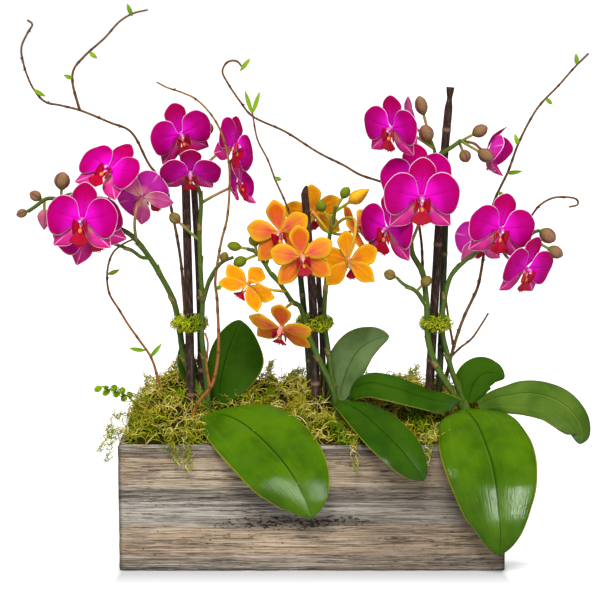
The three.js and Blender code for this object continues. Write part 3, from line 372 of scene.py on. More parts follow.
LEAVES = [
    Leaf("left_leaf_upright", [
        [-75, 4, 121], [-74, 9, 139], [-70, 15, 157], [-65, 20, 172], [-58, 26, 188],
    ], 31, left_width=14, facing=[[-0.3, -1, 0.3], [0.2, -1, 0.2]], fold=0.25, droop=0.25, widest=0.56,
        round=0.55),
    Leaf("left_leaf_behind", [[-96, 15, 120], [-98, 16, 138], [-102, 18, 155], [-105, 18, 171]], 8,
        facing=[[0.3, -1, 0.1], [0.3, -1, 0.1]], fold=0.2, droop=0.2, widest=0.6, round=0.7),
    Leaf("left_leaf_front", [
        [-80, -9, 118], [-69, -22, 119], [-57, -36, 117], [-42, -51, 109], [-25, -63, 94], [-14, -68, 80],
        [-6, -71, 65], [0, -72, 50],
    ], 34, facing=[[0.2, -0.5, 1], [0, -1, 0.9], [-0.3, -1, 0.3]], fold=0.25, droop=0.3, widest=0.5,
        round=0.55),
    Leaf("middle_leaf_upright", [
        [22, 6, 126], [26, 11, 141], [31, 15, 153], [39, 19, 165], [50, 21, 172], [63, 21, 176],
    ], 14, left_width=19, facing=[[-0.4, -1, 0.2], [0.1, -1, 0.5]], fold=0.35, droop=0.3, widest=0.46,
        round=0.6),
    Leaf("middle_leaf_front", [
        [22, -10, 127], [33, -24, 126], [45, -40, 120], [59, -54, 109], [71, -61, 98], [80, -64, 87],
        [87, -66, 78],
    ], 18, facing=[[0.2, -0.5, 1], [-0.2, -1, 0.6]], fold=0.3, droop=0.3, widest=0.5, round=0.6),
    Leaf("middle_leaf_arching", [
        [31, -4, 130], [34, -10, 138], [46, -16, 144], [62, -21, 142], [80, -24, 137], [97, -26, 132],
        [108, -27, 131], [118, -28, 133],
    ], 14, facing=[[-0.8, -0.4, 0.6], [0, -0.6, 0.8], [0, -0.5, 0.8], [0.2, -0.9, -0.2]], fold=0.25,
        droop=0.35, widest=0.45, round=0.7),
    Leaf("right_leaf_upright", [
        [126, 6, 124], [129, 10, 132], [133, 14, 140], [140, 17, 145], [149, 18, 145], [157, 17, 142],
    ], 14, left_width=17, facing=[[-0.3, -1, 0.3], [0.3, -0.8, 0.8]], fold=0.3, droop=0.3, widest=0.48,
        round=0.6),
    Leaf("right_leaf_front", [
        [123, -14, 121], [126, -28, 120], [131, -44, 114], [135, -58, 104], [139, -66, 92],
        [142, -70, 76], [144, -71, 58], [146, -70, 40], [146, -66, 18],
    ], 37, left_width=36, facing=[[0, -0.5, 1], [0, -1, 0.7], [0, -1, 0]], fold=0.22, droop=0.3,
        widest=0.47, round=0.55),
    Leaf("right_leaf_arching", [
        [134, -4, 124], [146, -6, 130], [158, -9, 133], [170, -11, 135], [183, -13, 134], [195, -14, 130],
        [205, -15, 123], [213, -16, 113], [216, -17, 103], [214, -18, 95],
    ], 22, left_width=16, facing=[[-0.1, -0.8, 0.8], [0.1, -0.8, 0.9], [0.5, -0.9, 0.4]], fold=0.1,
        droop=0.25, widest=0.55, round=0.6),
]

TIES = [
    Tie("left_moss_tie", [-97.5, 0.5, 190], (16, 15, 7)),
    Tie("middle_moss_tie", [2, 4, 190], (16, 22.5, 7)),
    Tie("right_moss_tie", [99, 0.5, 190], (13.5, 14.5, 7)),
]

# Hollows in the moss: x, y, radius and depth
HOLLOWS = [
    [-82, -8, 20, 12], [-60, -30, 24, 12], [-40, -44, 22, 8], [24, -8, 18, 12], [46, -38, 22, 9],
    [64, -44, 16, 6], [125, -8, 20, 16], [128, -36, 26, 14], [110, -30, 20, 8], [70, -22, 20, 6],
]

# Tufts of moss: foot, bend and tip
TUFTS = [
    [[-128, -27, 106], [-156, -33, 109], [-169, -34, 92]],
    [[-126, -10, 112], [-155, -12, 116], [-166, -16, 100]],
    [[-126, -34, 104], [-152, -50, 110], [-160, -59, 92]],
    [[-118, -6, 120], [-146, -11, 133], [-160, -10, 139]],
    [[-112, 22, 140], [-112, 20, 150], [-107, 18, 158]],
    [[-100, 30, 134], [-98, 32, 148], [-95, 33, 154]], [[-116, 8, 124], [-130, 8, 139], [-136, 6, 148]],
    [[-33, 30, 134], [-35, 30, 144], [-33, 28, 152]], [[-14, 28, 134], [-14, 28, 142], [-7, 26, 147]],
    [[-62, 32, 132], [-58, 32, 142], [-52, 32, 146]], [[14, 32, 132], [16, 31, 142], [20, 30, 147]],
    [[84, 28, 130], [82, 28, 141], [86, 27, 149]], [[-112, -40, 110], [-110, -55, 107], [-106, -58, 90]],
    [[-100, -40, 110], [-98, -55, 107], [-97, -58, 84]], [[28, -26, 108], [32, -53, 109], [34, -58, 84]],
    [[96, -26, 108], [93, -53, 108], [90, -58, 88]], [[-20, 40, 112], [-22, 55, 107], [-24, 58, 90]],
    [[70, 40, 112], [74, 55, 107], [76, 58, 88]],
]


# Half widths of petals and sepals at five even stations, before the disc narrows them
PETAL_WIDTHS = {Kind.MAGENTA: (3.2, 8.8, 15.4, 18, 14), Kind.ORANGE: (3, 6.2, 9, 10.4, 6.8)}
DORSAL_WIDTHS = {Kind.MAGENTA: (5, 7.6, 9.8, 11.4, 9.5), Kind.ORANGE: (3.8, 6, 8.6, 9.6, 5.6)}
LATERAL_WIDTHS = {Kind.MAGENTA: (4.4, 7.6, 9, 8.2, 3.6), Kind.ORANGE: (3.6, 6.4, 8.6, 8.2, 3.6)}
LENGTHS = {Kind.MAGENTA: (30, 31, 32), Kind.ORANGE: (29, 28, 32)}
ANGLES = {Kind.MAGENTA: (15, -43), Kind.ORANGE: (18, -42)}

# Height of the waves at the rim of the petals, and how far their shoulders reach back
RUFFLES = {Kind.MAGENTA: 0.7, Kind.ORANGE: 0.6}
SHOULDERS = {Kind.MAGENTA: 3.4, Kind.ORANGE: 1.6}

# Length of the lip, half width of its middle lobe, half width and drop of its side lobes
LIPS = {Kind.MAGENTA: (20.5, 7.9, 5.4, 5.2), Kind.ORANGE: (17, 6.6, 4.4, 4.4)}
LIP_COURSE = (0.3, 0.3, 0.28, 0.3, 0.66, 1, 0.84, 0.2)

# Half widths of the lip's side lobes along them
LOBE_COURSE = (0.7, 1, 1.2, 1.3, 1.2)

# Radii along the column, and along closed and opening buds as shares of their width
COLUMN_COURSE = (1.6, 2.3, 2.2, 1.9, 2, 2.1, 1.6, 0.5)
BUD_COURSE = (0.14, 0.36, 0.47, 0.5, 0.46, 0.36, 0.1)
OPENING_COURSE = (0.14, 0.4, 0.5, 0.46, 0.36, 0.22, 0.05)

# Material indices of the stems and of a bloom
GREEN, BRACT, BUD, OPENING_BUD, STALK, YOUNG_BUD = range(6)
PETAL, PETAL_BACK, SEPAL, SEPAL_BACK, LIP, COLUMN, CALLUS, THROAT, DORSAL = range(9)


def eased(values: Sequence[float], share: float) -> float:
    """A smooth course through evenly spaced values.

    Args:
        values: The values from start to end.
        share: How far along, from 0 to 1.

    Returns:
        The value at that share.
    """
    stretch = max(0.0, min(1.0, share)) * (len(values) - 1)
    left = min(len(values) - 2, int(stretch))
    part = stretch - left
    first, second = values[left], values[left + 1]
    before = values[left - 1] if left else 2 * first - second
    after = values[left + 2] if left + 2 < len(values) else 2 * second - first
    rise = (second - before) / 2
    fall = (after - first) / 2
    bend = 3 * (second - first) - 2 * rise - fall
    twist = 2 * (first - second) + rise + fall
    return first + rise * part + bend * part * part + twist * part ** 3


def stray(dice: Random) -> Vector:
    """A random vector with parts from -1 to 1."""
    return Vector([dice.uniform(-1, 1) for _ in range(3)])


def bump_at(place: float, centre: float, width: float) -> float:
    """A bell of height 1 round a centre."""
    return math.exp(-(((place - centre) / width) ** 2))


def swelling(long: float, nodes: Sequence[float], width: float) -> Profile:
    """How much the nearest of a bar's nodes swells it.

    Args:
        long: The bar's length.
        nodes: Where its nodes are along it.
        width: How far a node reaches along it.

    Returns:
        The swelling, from 0 to 1, at a share of the length.
    """
    return lambda share: max((bump_at(share * long, node, width) for node in nodes), default=0.0)


class Route:
    """A smooth way through places given in millimetres. Its own results are in metres."""

    def __init__(self, places: Sequence[Place]) -> None:
        """Keeps the places and measures the way.

        Args:
            places: The places, at least two.
        """
        self.places = [Vector(place) * MM for place in places]
        steps = 12 * (len(places) - 1)
        trail = [self.point(step / steps) for step in range(steps + 1)]
        self.ways = [0.0]
        for before, after in zip(trail, trail[1:]):
            self.ways.append(self.ways[-1] + (after - before).length)
        self.length = self.ways[-1]

    def point(self, share: float) -> Vector:
        """The place at a share of the list of places.

        Args:
            share: From 0 at the first place to 1 at the last.

        Returns:
            The place, in metres.
        """
        last = len(self.places) - 1
        stretch = share * last
        left = min(last - 1, int(stretch))
        part = stretch - left
        first, second = self.places[left], self.places[left + 1]
        before = self.places[left - 1] if left else first * 2 - second
        after = self.places[left + 2] if left + 2 <= last else second * 2 - first
        lead = (first - before).length ** 0.5
        span = (second - first).length ** 0.5
        trail = (after - second).length ** 0.5
        start = (first - before) / lead - (second - before) / (lead + span) + (second - first) / span
        end = (second - first) / span - (after - first) / (span + trail) + (after - second) / trail
        start *= span
        end *= span
        bend = (second - first) * 3 - start * 2 - end
        twist = (first - second) * 2 + start + end
        return first + start * part + bend * part * part + twist * part ** 3

    def tangent(self, share: float) -> Vector:
        """The direction of the way at a share of the list of places."""
        low, high = max(0.0, share - 0.0005), min(1.0, share + 0.0005)
        return (self.point(high) - self.point(low)).normalized()

    def at_length(self, share: float) -> Vector:
        """The place at a share of the length, in metres.

        Args:
            share: From 0 at the start to 1 at the end.

        Returns:
            The place.
        """
        aim = share * self.length
        last = len(self.ways) - 1
        index = min(bisect_left(self.ways, aim, 1), last)
        before, after = self.ways[index - 1], self.ways[index]
        part = (aim - before) / max(1e-9, after - before)
        return self.point((index - 1 + min(1.0, part)) / last)

    def stations(self, count: int) -> list[tuple[Vector, Vector, float]]:
        """Evenly spaced places with their directions and shares of the length.

        Args:
            count: How many.

        Returns:
            Place, direction and share of each.
        """
        places = [self.at_length(step / (count - 1)) for step in range(count)]
        made = []
        for step, place in enumerate(places):
            ahead = places[min(step + 1, count - 1)]
            behind = places[max(step - 1, 0)]
            made.append((place, (ahead - behind).normalized(), step / (count - 1)))
        return made


class Form:
    """A mesh under way. Each vertex keeps its place on its own surface in the layer named grain."""

    def __init__(self) -> None:
        """Starts an empty mesh."""
        self.bm = bmesh.new()
        self.grain = self.bm.verts.layers.float_vector.new(GRAIN)

    def mesh(self, name: str = "part") -> bpy.types.Mesh:
        """Closes the work and gives its mesh.

        Args:
            name: The mesh's name.

        Returns:
            The mesh.
        """
        made = bpy.data.meshes.new(name)
        self.bm.to_mesh(made)
        self.bm.free()
        return made

    def join(self, other: "Form") -> None:
        """Takes in another form, which is used up.

        Args:
            other: The form to take in.
        """
        made = other.mesh()
        self.bm.from_mesh(made)
        bpy.data.meshes.remove(made)

    def sweep(
        self, route: Route, radius: Profile, sides: int = 10, step: float = 2.0, material: int = 0,
        lobes: float = 0.0, mark: Profile | None = None, slant: float = 0.0,
    ) -> None:
        """Adds a closed round bar.

        Args:
            route: The way of its middle.
            radius: The radius in millimetres at a share of the length.
            sides: Corners of its section.
            step: Distance between rings in millimetres.
            material: Material index of its faces.
            lobes: How far three lobes stand out, as a share of the radius.
            mark: A tint from 0 to 1 along the length, kept in the length of the grain's first two parts.
            slant: How far one side of the end stands over the other, in millimetres.
        """
        tube = Form()
        bm, grain = tube.bm, tube.grain
        ring = bmesh.ops.create_circle(bm, segments=sides, radius=1)["verts"]
        for vertex in ring:
            vertex[grain] = vertex.co
        edges = list(bm.edges)
        ends = [edges]
        side = None
        count = max(3, round(route.length / (step * MM)) + 1)
        for number, (place, direction, share) in enumerate(route.stations(count)):
            if number:
                made = bmesh.ops.extrude_edge_only(bm, edges=edges)["geom"]
                ring = [item for item in made if isinstance(item, bmesh.types.BMVert)]
                fresh = set(ring)
                edges = [
                    item for item in made
                    if isinstance(item, bmesh.types.BMEdge) and fresh.issuperset(item.verts)
                ]
            if side is None:
                side = direction.orthogonal()
            side = (side - direction * side.dot(direction)).normalized()
            up = direction.cross(side)
            size = radius(share) * MM
            tint = 1 + (mark(share) if mark else 0.0)
            for vertex in ring:
                across = Vector(vertex[grain]).to_2d().normalized()
                turned = math.atan2(across.y, across.x)
                reach = size * (1 + lobes * math.cos(3 * turned))
                lean = slant * MM * across.x * 0.5 if slant and number == count - 1 else 0.0
                vertex.co = place + (side * across.x + up * across.y) * reach + direction * lean
                vertex[grain] = (across.x * tint, across.y * tint, share * route.length / MM)
        ends.append(edges)
        for rim in ends:
            bmesh.ops.edgeloop_fill(bm, edges=rim)
        bmesh.ops.recalc_face_normals(bm, faces=bm.faces)
        for face in bm.faces:
            face.material_index = material
            face.smooth = True
        self.join(tube)

    def blade(
        self, across_count: int, along_count: int, place: Callable[[float, float, float, int], Vector],
        materials: tuple[int, int] = (0, 0), disc: bool = False,
    ) -> None:
        """Adds a thin closed blade from two grids that meet at their outline.

        Args:
            across_count: Faces across.
            along_count: Faces along.
            place: Gives a point in millimetres from across and along, both from -1 to 1, the nearness
                to the rim from 0 to 1, and the face, 1 for the front and -1 for the back.
            materials: Material indices of front and back.
            disc: True rounds the grids to a disc first.
        """
        sheet = Form()
        bm, grain = sheet.bm, sheet.grain
        for face_side, material in zip((1, -1), materials):
            made = bmesh.ops.create_grid(bm, x_segments=across_count, y_segments=along_count, size=1)
            grid = made["verts"]
            for vertex in grid:
                x, y = vertex.co.x, vertex.co.y
                across, along = x, y
                rim = max(abs(x), abs(y))
                if disc:
                    across, along = x * math.sqrt(1 - y * y / 2), y * math.sqrt(1 - x * x / 2)
                    rim = min(1.0, math.hypot(across, along)) if rim < AT_RIM else 1.0
                vertex[grain] = (across, along, rim)
                vertex.co = place(across, along, rim, face_side) * MM
            faces = list({face for vertex in grid for face in vertex.link_faces})
            for face in faces:
                face.material_index = material
                face.smooth = True
            if face_side < 0:
                bmesh.ops.reverse_faces(bm, faces=faces)
        outline = [vertex for vertex in bm.verts if vertex.is_boundary]
        bmesh.ops.remove_doubles(bm, verts=outline, dist=2e-6)
        self.join(sheet)

    def piece(
        self, name: str, slot: str, materials: Sequence[Material], replaces: Sequence[str] = (),
    ) -> bpy.types.Object:
        """Makes the finished piece, which rides on the planter.

        Args:
            name: The piece's name.
            slot: The record's material slot; not used.
            materials: Its materials in the order of their indices.
            replaces: The solids that it stands for.

        Returns:
            The new object.
        """
        made = self.mesh(name)
        for material in materials:
            made.materials.append(material)
        thing = bpy.data.objects.new(name, made)
        bpy.context.scene.collection.objects.link(thing)
        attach(thing, BODY)
        if replaces:
            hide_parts(*replaces)
        LOG.info("%s: %d faces", name, len(made.polygons))
        return thing


class Paint:
    """One node material, built through short calls for the nodes that the finishes share."""

    def __init__(self, name: str, settings: dict[str, float]) -> None:
        """Makes the material and sets the shader's plain values.

        Args:
            name: The material's name.
            settings: Values of the shader's inputs.
        """
        self.material = bpy.data.materials.new(name)
        self.material.use_nodes = True
        self.tree = self.material.node_tree
        self.tree.nodes.clear()
        self.shader = self.tree.nodes.new("ShaderNodeBsdfPrincipled")
        output = self.tree.nodes.new("ShaderNodeOutputMaterial")
        self.tree.links.new(self.shader.outputs[0], output.inputs[0])
        for socket, value in settings.items():
            self.shader.inputs[socket].default_value = value

    def feed(self, socket: Socket, value: object) -> None:
        """Links a socket to another one, or sets its value.

        Args:
            socket: The input.
            value: A socket, a number, a vector or a colour.
        """
        if isinstance(value, Socket):
            self.tree.links.new(value, socket)
        elif isinstance(value, (tuple, list)) and len(value) == 3 and socket.type == "RGBA":
            socket.default_value = (*value, 1)
        else:
            socket.default_value = value

    def node(
        self, kind: str, feeds: dict[int | str, object], output: int | str = 0, **settings: object,
    ) -> Socket:
        """Adds a node, sets it and feeds its inputs.

        Args:
            kind: Its type, without the words ShaderNode.
            feeds: What each of its inputs gets.
            output: The output that is wanted.
            settings: Its plain settings.

        Returns:
            That output.
        """
        made = self.tree.nodes.new("ShaderNode" + kind)
        for name, value in settings.items():
            setattr(made, name, value)
        for socket, value in feeds.items():
            self.feed(made.inputs[socket], value)
        return made.outputs[output]

    def place(self, scale: Place = (1, 1, 1)) -> Socket:
        """The place on the object, scaled."""
        return self.scaled(self.node("TexCoord", {}, "Object"), scale)

    def scaled(self, vector: Socket, scale: Place) -> Socket:
        """A vector scaled in its three directions."""
        return self.node("Mapping", {"Vector": vector, "Scale": tuple(scale)})

    def grain(self) -> Socket:
        """The place on the piece's own surface."""
        return self.node("Attribute", {}, "Vector", attribute_name=GRAIN)

    def girth(self) -> Socket:
        """The length of the grain's first two parts, which carries the tint of a round bar.

        Returns:
            That length, from 1 without a tint to 2 with all of it.
        """
        across, upward, _ = self.split(self.grain())
        square = self.line(across, across, self.times(upward, upward))
        return self.maths("POWER", square, 0.5)

    def split(self, vector: Socket) -> list[Socket]:
        """The three parts of a vector."""
        return list(self.node("SeparateXYZ", {0: vector}).node.outputs)

    def maths(self, operation: str, *values: object) -> Socket:
        """The result of one operation on numbers."""
        return self.node("Math", dict(enumerate(values)), operation=operation)

    def times(self, value: object, factor: object) -> Socket:
        """A value times a factor."""
        return self.maths("MULTIPLY", value, factor)

    def line(self, value: object, slope: object, start: object) -> Socket:
        """A value times a slope, plus a start."""
        return self.maths("MULTIPLY_ADD", value, slope, start)

    def span(self, value: object, low: float, high: float, start: float = 0, end: float = 1) -> Socket:
        """A value moved softly from the range low to high into the range start to end, and held there."""
        feeds = dict(enumerate((value, low, high, start, end)))
        return self.node("MapRange", feeds, interpolation_type="SMOOTHSTEP")

    def noise(
        self, vector: Socket, scale: float, detail: float = 3, rough: float = 0.5, twist: float = 0,
    ) -> Socket:
        """Soft noise.

        Args:
            vector: Where.
            scale: How fine it is.
            detail: How many finer layers lie on it.
            rough: How strong they are.
            twist: How far it is distorted.

        Returns:
            The noise, around 0.5.
        """
        return self.node("TexNoise", {
            "Vector": vector, "Scale": scale, "Detail": detail, "Roughness": rough, "Distortion": twist,
        })

    def cells(self, vector: Socket, scale: float, edges: bool = True) -> Socket:
        """Distance to the edges or to the middles of random cells."""
        feature = "DISTANCE_TO_EDGE" if edges else "F1"
        return self.node("TexVoronoi", {"Vector": vector, "Scale": scale}, "Distance", feature=feature)

    def ramp(self, value: Socket, stops: Sequence[tuple[float, Colour]]) -> Socket:
        """A colour that runs through stops.

        Args:
            value: Where on the ramp, from 0 to 1.
            stops: Positions and colours.

        Returns:
            The colour.
        """
        shade = self.node("ValToRGB", {0: value})
        elements = shade.node.color_ramp.elements
        while len(elements) < len(stops):
            elements.new(0.5)
        for element, (position, colour) in zip(elements, stops):
            element.position = position
            element.color = (*colour, 1)
        return shade

    def mix(self, share: object, first: object, second: object) -> Socket:
        """A mix of two colours, with a share of the second."""
        return self.node("Mix", {0: share, 6: first, 7: second}, 2, data_type="RGBA")

    def over(
        self, tone: object, source: object, low: float, high: float, strength: float, colour: object,
    ) -> Socket:
        """A tone with a colour laid over it where a source passes from low to high."""
        return self.mix(self.span(source, low, high, 0, strength), tone, colour)

    def colour(self, value: object) -> None:
        """Sets the base colour."""
        self.feed(self.shader.inputs["Base Color"], value)

    def relief(self, height: Socket, depth: float, strength: float = 1.0) -> None:
        """Gives the surface relief of a depth in millimetres."""
        bump = self.node("Bump", {"Height": height, "Distance": depth * MM, "Strength": strength})
        self.feed(self.shader.inputs["Normal"], bump)


@dataclass(frozen=True)
class PetalFinish:
    """Soft petal skin: a bright heart, a darker blade, fine veins that fan out and a pale rim."""

    name: str
    base: Colour
    deep: Colour
    heart: Colour
    vein: Colour
    rim: Colour
    heart_reach: float = 0.3
    vein_strength: float = 0.5
    rib: float = 0.0
    rim_start: float = 0.965
    groove: float = 0.6
    rim_end: float = 0.97

    def material(self) -> Material:
        """Builds the material.

        Returns:
            The finished material.
        """
        paint = Paint(self.name, {
            "Roughness": 0.6, "Subsurface Weight": 0.1, "Subsurface Scale": 0.002,
            "Specular IOR Level": 0.05,
        })
        across, along, rim = paint.split(paint.grain())
        wide = paint.maths("ABSOLUTE", across)
        length = paint.span(along, -1, 1)
        start = paint.line(along, 0.5, 0.62)
        wander = paint.noise(paint.place(), 170, 3)
        turn = paint.maths("ARCTAN2", across, start)
        wave = paint.line(turn, 30, paint.times(wander, 6))
        line = paint.span(paint.maths("ABSOLUTE", paint.maths("SINE", wave)), 0, 0.4, 1, 0)
        net = paint.span(paint.cells(paint.scaled(paint.grain(), (9, 5, 0)), 1.3), 0, 0.09, 1, 0)
        veins = paint.maths("MAXIMUM", line, paint.times(net, 0.5))
        fade = paint.span(rim, 0.45, 0.95, 1.0, 0.2)
        veins = paint.times(paint.times(veins, fade), self.vein_strength)
        shade = paint.line(wander, 0.5, paint.times(rim, 0.75))
        tone = paint.mix(paint.span(shade, 0.45, 1.05), self.base, self.deep)
        reach = paint.line(wander, 0.16, length)
        tone = paint.mix(paint.span(reach, self.heart_reach + 0.08, 0.08), tone, self.heart)
        tone = paint.mix(paint.span(rim, self.rim_start, self.rim_end, 0, 0.9), tone, self.rim)
        tone = paint.mix(veins, tone, self.vein)
        groove = paint.times(paint.span(wide, 0.0, 0.07, self.groove, 0), paint.span(along, 0.9, -0.4))
        tone = paint.mix(groove, tone, self.vein)
        if self.rib:
            rib = paint.times(paint.span(wide, 0.0, 0.08, self.rib, 0), paint.span(along, -0.1, 0.7))
            tone = paint.mix(rib, tone, self.rim)
        paint.colour(tone)
        skin = paint.noise(paint.place(), 2600, 2)
        height = paint.line(veins, -0.6, paint.times(skin, 0.3))
        paint.relief(height, 0.25, 0.6)
        return paint.material


@dataclass(frozen=True)
class SkinFinish:
    """Smooth plant skin of stems, buds, lips and columns, with a tint where it is marked."""

    name: str
    base: Colour
    tint: Colour
    speck: Colour
    roughness: float = 0.4
    specks: float = 0.3
    seams: float = 0.0

    def material(self) -> Material:
        """Builds the material.

        Returns:
            The finished material.
        """
        paint = Paint(self.name, {
            "Roughness": self.roughness, "Subsurface Weight": 0.08, "Subsurface Scale": 0.002,
            "Specular IOR Level": 0.3,
        })
        across, upward, _ = paint.split(paint.grain())
        wander = paint.noise(paint.place(), 220, 3)
        tone = paint.mix(paint.span(paint.girth(), 1.02, 1.95), self.base, self.tint)
        specks = paint.span(paint.noise(paint.place((1, 1, 0.4)), 900, 2), 0.5, 0.72, 0, self.specks)
        tone = paint.mix(specks, tone, self.speck)
        tone = paint.over(tone, wander, 0.4, 0.75, 0.35, self.tint)
        if self.seams:
            turn = paint.times(paint.maths("ARCTAN2", upward, across), 3)
            seam = paint.span(paint.maths("COSINE", turn), -0.82, -1.0, 0, self.seams)
            tone = paint.mix(seam, tone, self.speck)
        paint.colour(tone)
        paint.relief(paint.noise(paint.place((1, 1, 0.25)), 700, 3), 0.2, 0.5)
        return paint.material


@dataclass(frozen=True)
class LeafFinish:
    """Waxy leaf skin with fine parallel veins, painted shade in the groove along its midrib and a painted
    highlight line beside it.
    """

    name: str
    base: Colour
    deep: Colour
    margin: Colour
    # Colour of the painted highlight line beside the midrib and of the lighter streaks
    rib: Colour
    roughness: float = 0.26
    shine: float = 0.3
    # Strength of the painted highlight line beside the midrib groove
    line: float = 0.35

    def material(self) -> Material:
        """Builds the material.

        Returns:
            The finished material.
        """
        paint = Paint(self.name, {
            "Roughness": self.roughness, "Specular IOR Level": self.shine,
            "Subsurface Weight": 0.04, "Subsurface Scale": 0.003,
        })
        across, along, rim = paint.split(paint.grain())
        wide = paint.maths("ABSOLUTE", across)
        patches = paint.noise(paint.place(), 38, 4, 0.55)
        tone = paint.mix(paint.span(patches, 0.35, 0.7), self.base, self.deep)
        streak = paint.noise(paint.scaled(paint.grain(), (30, 1.1, 0)), 1, 3)
        # Lighter streaks along the blade: leaf texture that partly stands in for painted sheen.
        tone = paint.over(tone, streak, 0.45, 0.75, 0.1, self.rib)
        tone = paint.over(tone, streak, 0.48, 0.28, 0.25, self.deep)
        # Painted shade in the midrib groove: a much darker copy of the deep green along it.
        dark = tuple(0.4 * part for part in self.deep)
        tone = paint.mix(paint.span(wide, 0.0, 0.045, 0.9, 0), tone, dark)
        # Painted highlight: a pale line just beside the midrib groove, where shine would catch its edge.
        beside = paint.maths("ABSOLUTE", paint.maths("ADD", across, -0.035))
        pale = paint.times(paint.span(beside, 0.0, 0.016, self.line, 0), paint.span(along, -0.6, 0.3))
        tone = paint.mix(pale, tone, self.rib)
        tone = paint.over(tone, rim, 0.955, 0.985, 0.95, self.margin)
        paint.colour(tone)
        ripple = paint.maths("SINE", paint.line(across, 70, paint.times(patches, 5)))
        scratch = paint.noise(paint.scaled(paint.grain(), (70, 5, 0)), 1, 3, 0.6)
        pores = paint.noise(paint.place((1, 1, 0.6)), 420, 4, 0.6)
        height = paint.line(pores, 0.8, paint.line(scratch, 0.8, streak))
        paint.relief(paint.line(ripple, 0.06, height), 0.32, 0.6)
        return paint.material


@dataclass(frozen=True)
class CaneFinish:
    """Cane or twig bark with stripes along it, marked rings and, if asked, another tone near its foot."""

    name: str
    dark: Colour
    mid: Colour
    pale: Colour
    ring: Colour
    roughness: float = 0.38
    stripes: float = 5.0
    stretch: float = 0.035
    foot: Colour | None = None

    def material(self) -> Material:
        """Builds the material.

        Returns:
            The finished material.
        """
        paint = Paint(self.name, {"Roughness": self.roughness, "Specular IOR Level": 0.35})
        scales = (self.stripes, self.stripes, self.stretch * self.stripes)
        stripe = paint.noise(paint.scaled(paint.grain(), scales), 1, 4, 0.6)
        fleck = paint.noise(paint.place((1, 1, 0.35)), 420, 3)
        tone = paint.ramp(stripe, ((0.3, self.dark), (0.5, self.mid), (0.72, self.pale)))
        if self.foot:
            height = paint.split(paint.place())[2]
            low = paint.times(paint.span(height, 0.26, 0.16), paint.span(stripe, 0.2, 0.6, 0.5, 1))
            tone = paint.mix(low, tone, self.foot)
        tone = paint.over(tone, fleck, 0.5, 0.75, 0.5, self.dark)
        tone = paint.mix(paint.span(paint.girth(), 1.1, 1.8), tone, self.ring)
        paint.colour(tone)
        paint.relief(paint.line(fleck, 0.4, stripe), 0.35, 0.7)
        return paint.material


@dataclass(frozen=True)
class WoodFinish:
    """Old bare wood: bands of weather, fine grain along the board, a darker end and a knotted crack."""

    name: str
    axis: Axis
    bands: Sequence[tuple[float, Colour]]
    height: float = 101.6
    half_length: float = 152.4
    knot_x: float = -12.0
    knot_z: float = 39.5

    def material(self) -> Material:
        """Builds the material.

        Returns:
            The finished material.
        """
        paint = Paint(self.name, {"Roughness": 0.85, "Specular IOR Level": 0.1})
        lengthwise = self.axis is Axis.LENGTHWISE

        def laid(along: float, over: float, up: float) -> Socket:
            """The place on the object with its three scales laid along the grain."""
            return paint.place((along, over, up) if lengthwise else (over, along, up))

        place_x, _, place_z = paint.split(paint.place())
        fibre = paint.noise(laid(30, 420, 1300), 1, 4, 0.75)
        grain = paint.noise(laid(9, 150, 560), 1, 6, 0.8, 0.2)
        streak = paint.noise(laid(4, 45, 100), 1, 6, 0.75, 0.4)
        stain = paint.noise(laid(12, 20, 34), 1, 6, 0.7)
        speck = paint.noise(laid(260, 400, 560), 1, 3, 0.7)
        level = paint.line(place_z, 1 / (self.height * MM), paint.line(streak, 0.2, -0.1))
        tone = paint.ramp(level, self.bands)
        for source, low, high, strength, colour in (
            (stain, 0.52, 0.68, 0.4, (0.16, 0.135, 0.115)),
            (streak, 0.54, 0.66, 0.3, (0.5, 0.45, 0.38)),
            (streak, 0.46, 0.34, 0.35, (0.09, 0.068, 0.05)),
            (grain, 0.53, 0.62, 0.35, (0.56, 0.49, 0.4)),
            (grain, 0.475, 0.38, 0.5, (0.05, 0.036, 0.026)),
            (fibre, 0.53, 0.62, 0.5, (0.66, 0.59, 0.5)),
            (fibre, 0.475, 0.38, 0.65, (0.035, 0.026, 0.02)),
        ):
            tone = paint.over(tone, source, low, high, strength, colour)
        wave = paint.noise(laid(6, 60, 190), 1, 5, 0.7, 0.5)
        ridge = paint.maths("ABSOLUTE", paint.maths("SUBTRACT", wave, 0.5))
        line = paint.times(paint.span(ridge, 0.0, 0.012, 1, 0), paint.span(stain, 0.42, 0.55, 0.2, 0.85))
        tone = paint.mix(line, tone, (0.03, 0.022, 0.016))
        right = paint.line(stain, 0.07, place_x)
        tone = paint.over(tone, right, 0.03, 0.1, 0.42, (0.085, 0.06, 0.038))
        tone = paint.over(tone, stain, 0.54, 0.7, 0.4, (0.1, 0.078, 0.06))
        ends = paint.maths("ABSOLUTE", place_x)
        worn_from, worn_to = (self.half_length - 3.9) * MM, (self.half_length - 0.9) * MM
        tone = paint.over(tone, ends, worn_from, worn_to, 0.6, (0.05, 0.04, 0.03))
        drop = paint.times(paint.maths("ADD", place_z, -self.knot_z * MM), 130)
        aside = paint.times(paint.maths("ADD", place_x, -self.knot_x * MM), 15)
        spread = paint.line(drop, drop, paint.times(aside, aside))
        near = paint.span(spread, 1.8, 0.0)
        patch = paint.times(near, paint.span(streak, 0.4, 0.6, 0.2, 0.7))
        tone = paint.mix(patch, tone, (0.1, 0.08, 0.06))
        knots = paint.maths("ADD", speck, paint.line(grain, -0.5, paint.times(near, 0.24)))
        knot = paint.span(knots, 0.5, 0.55, 0, 0.9)
        tone = paint.mix(knot, tone, (0.016, 0.013, 0.01))
        chips = paint.span(paint.noise(laid(300, 300, 420), 1, 4, 0.7), 0.63, 0.68, 0, 0.8)
        tone = paint.mix(chips, tone, (0.04, 0.03, 0.022))
        paint.colour(tone)
        dents = paint.line(paint.maths("MAXIMUM", line, knot), -1.2, grain)
        paint.relief(paint.line(fibre, 0.6, dents), 1.0, 0.9)
        return paint.material


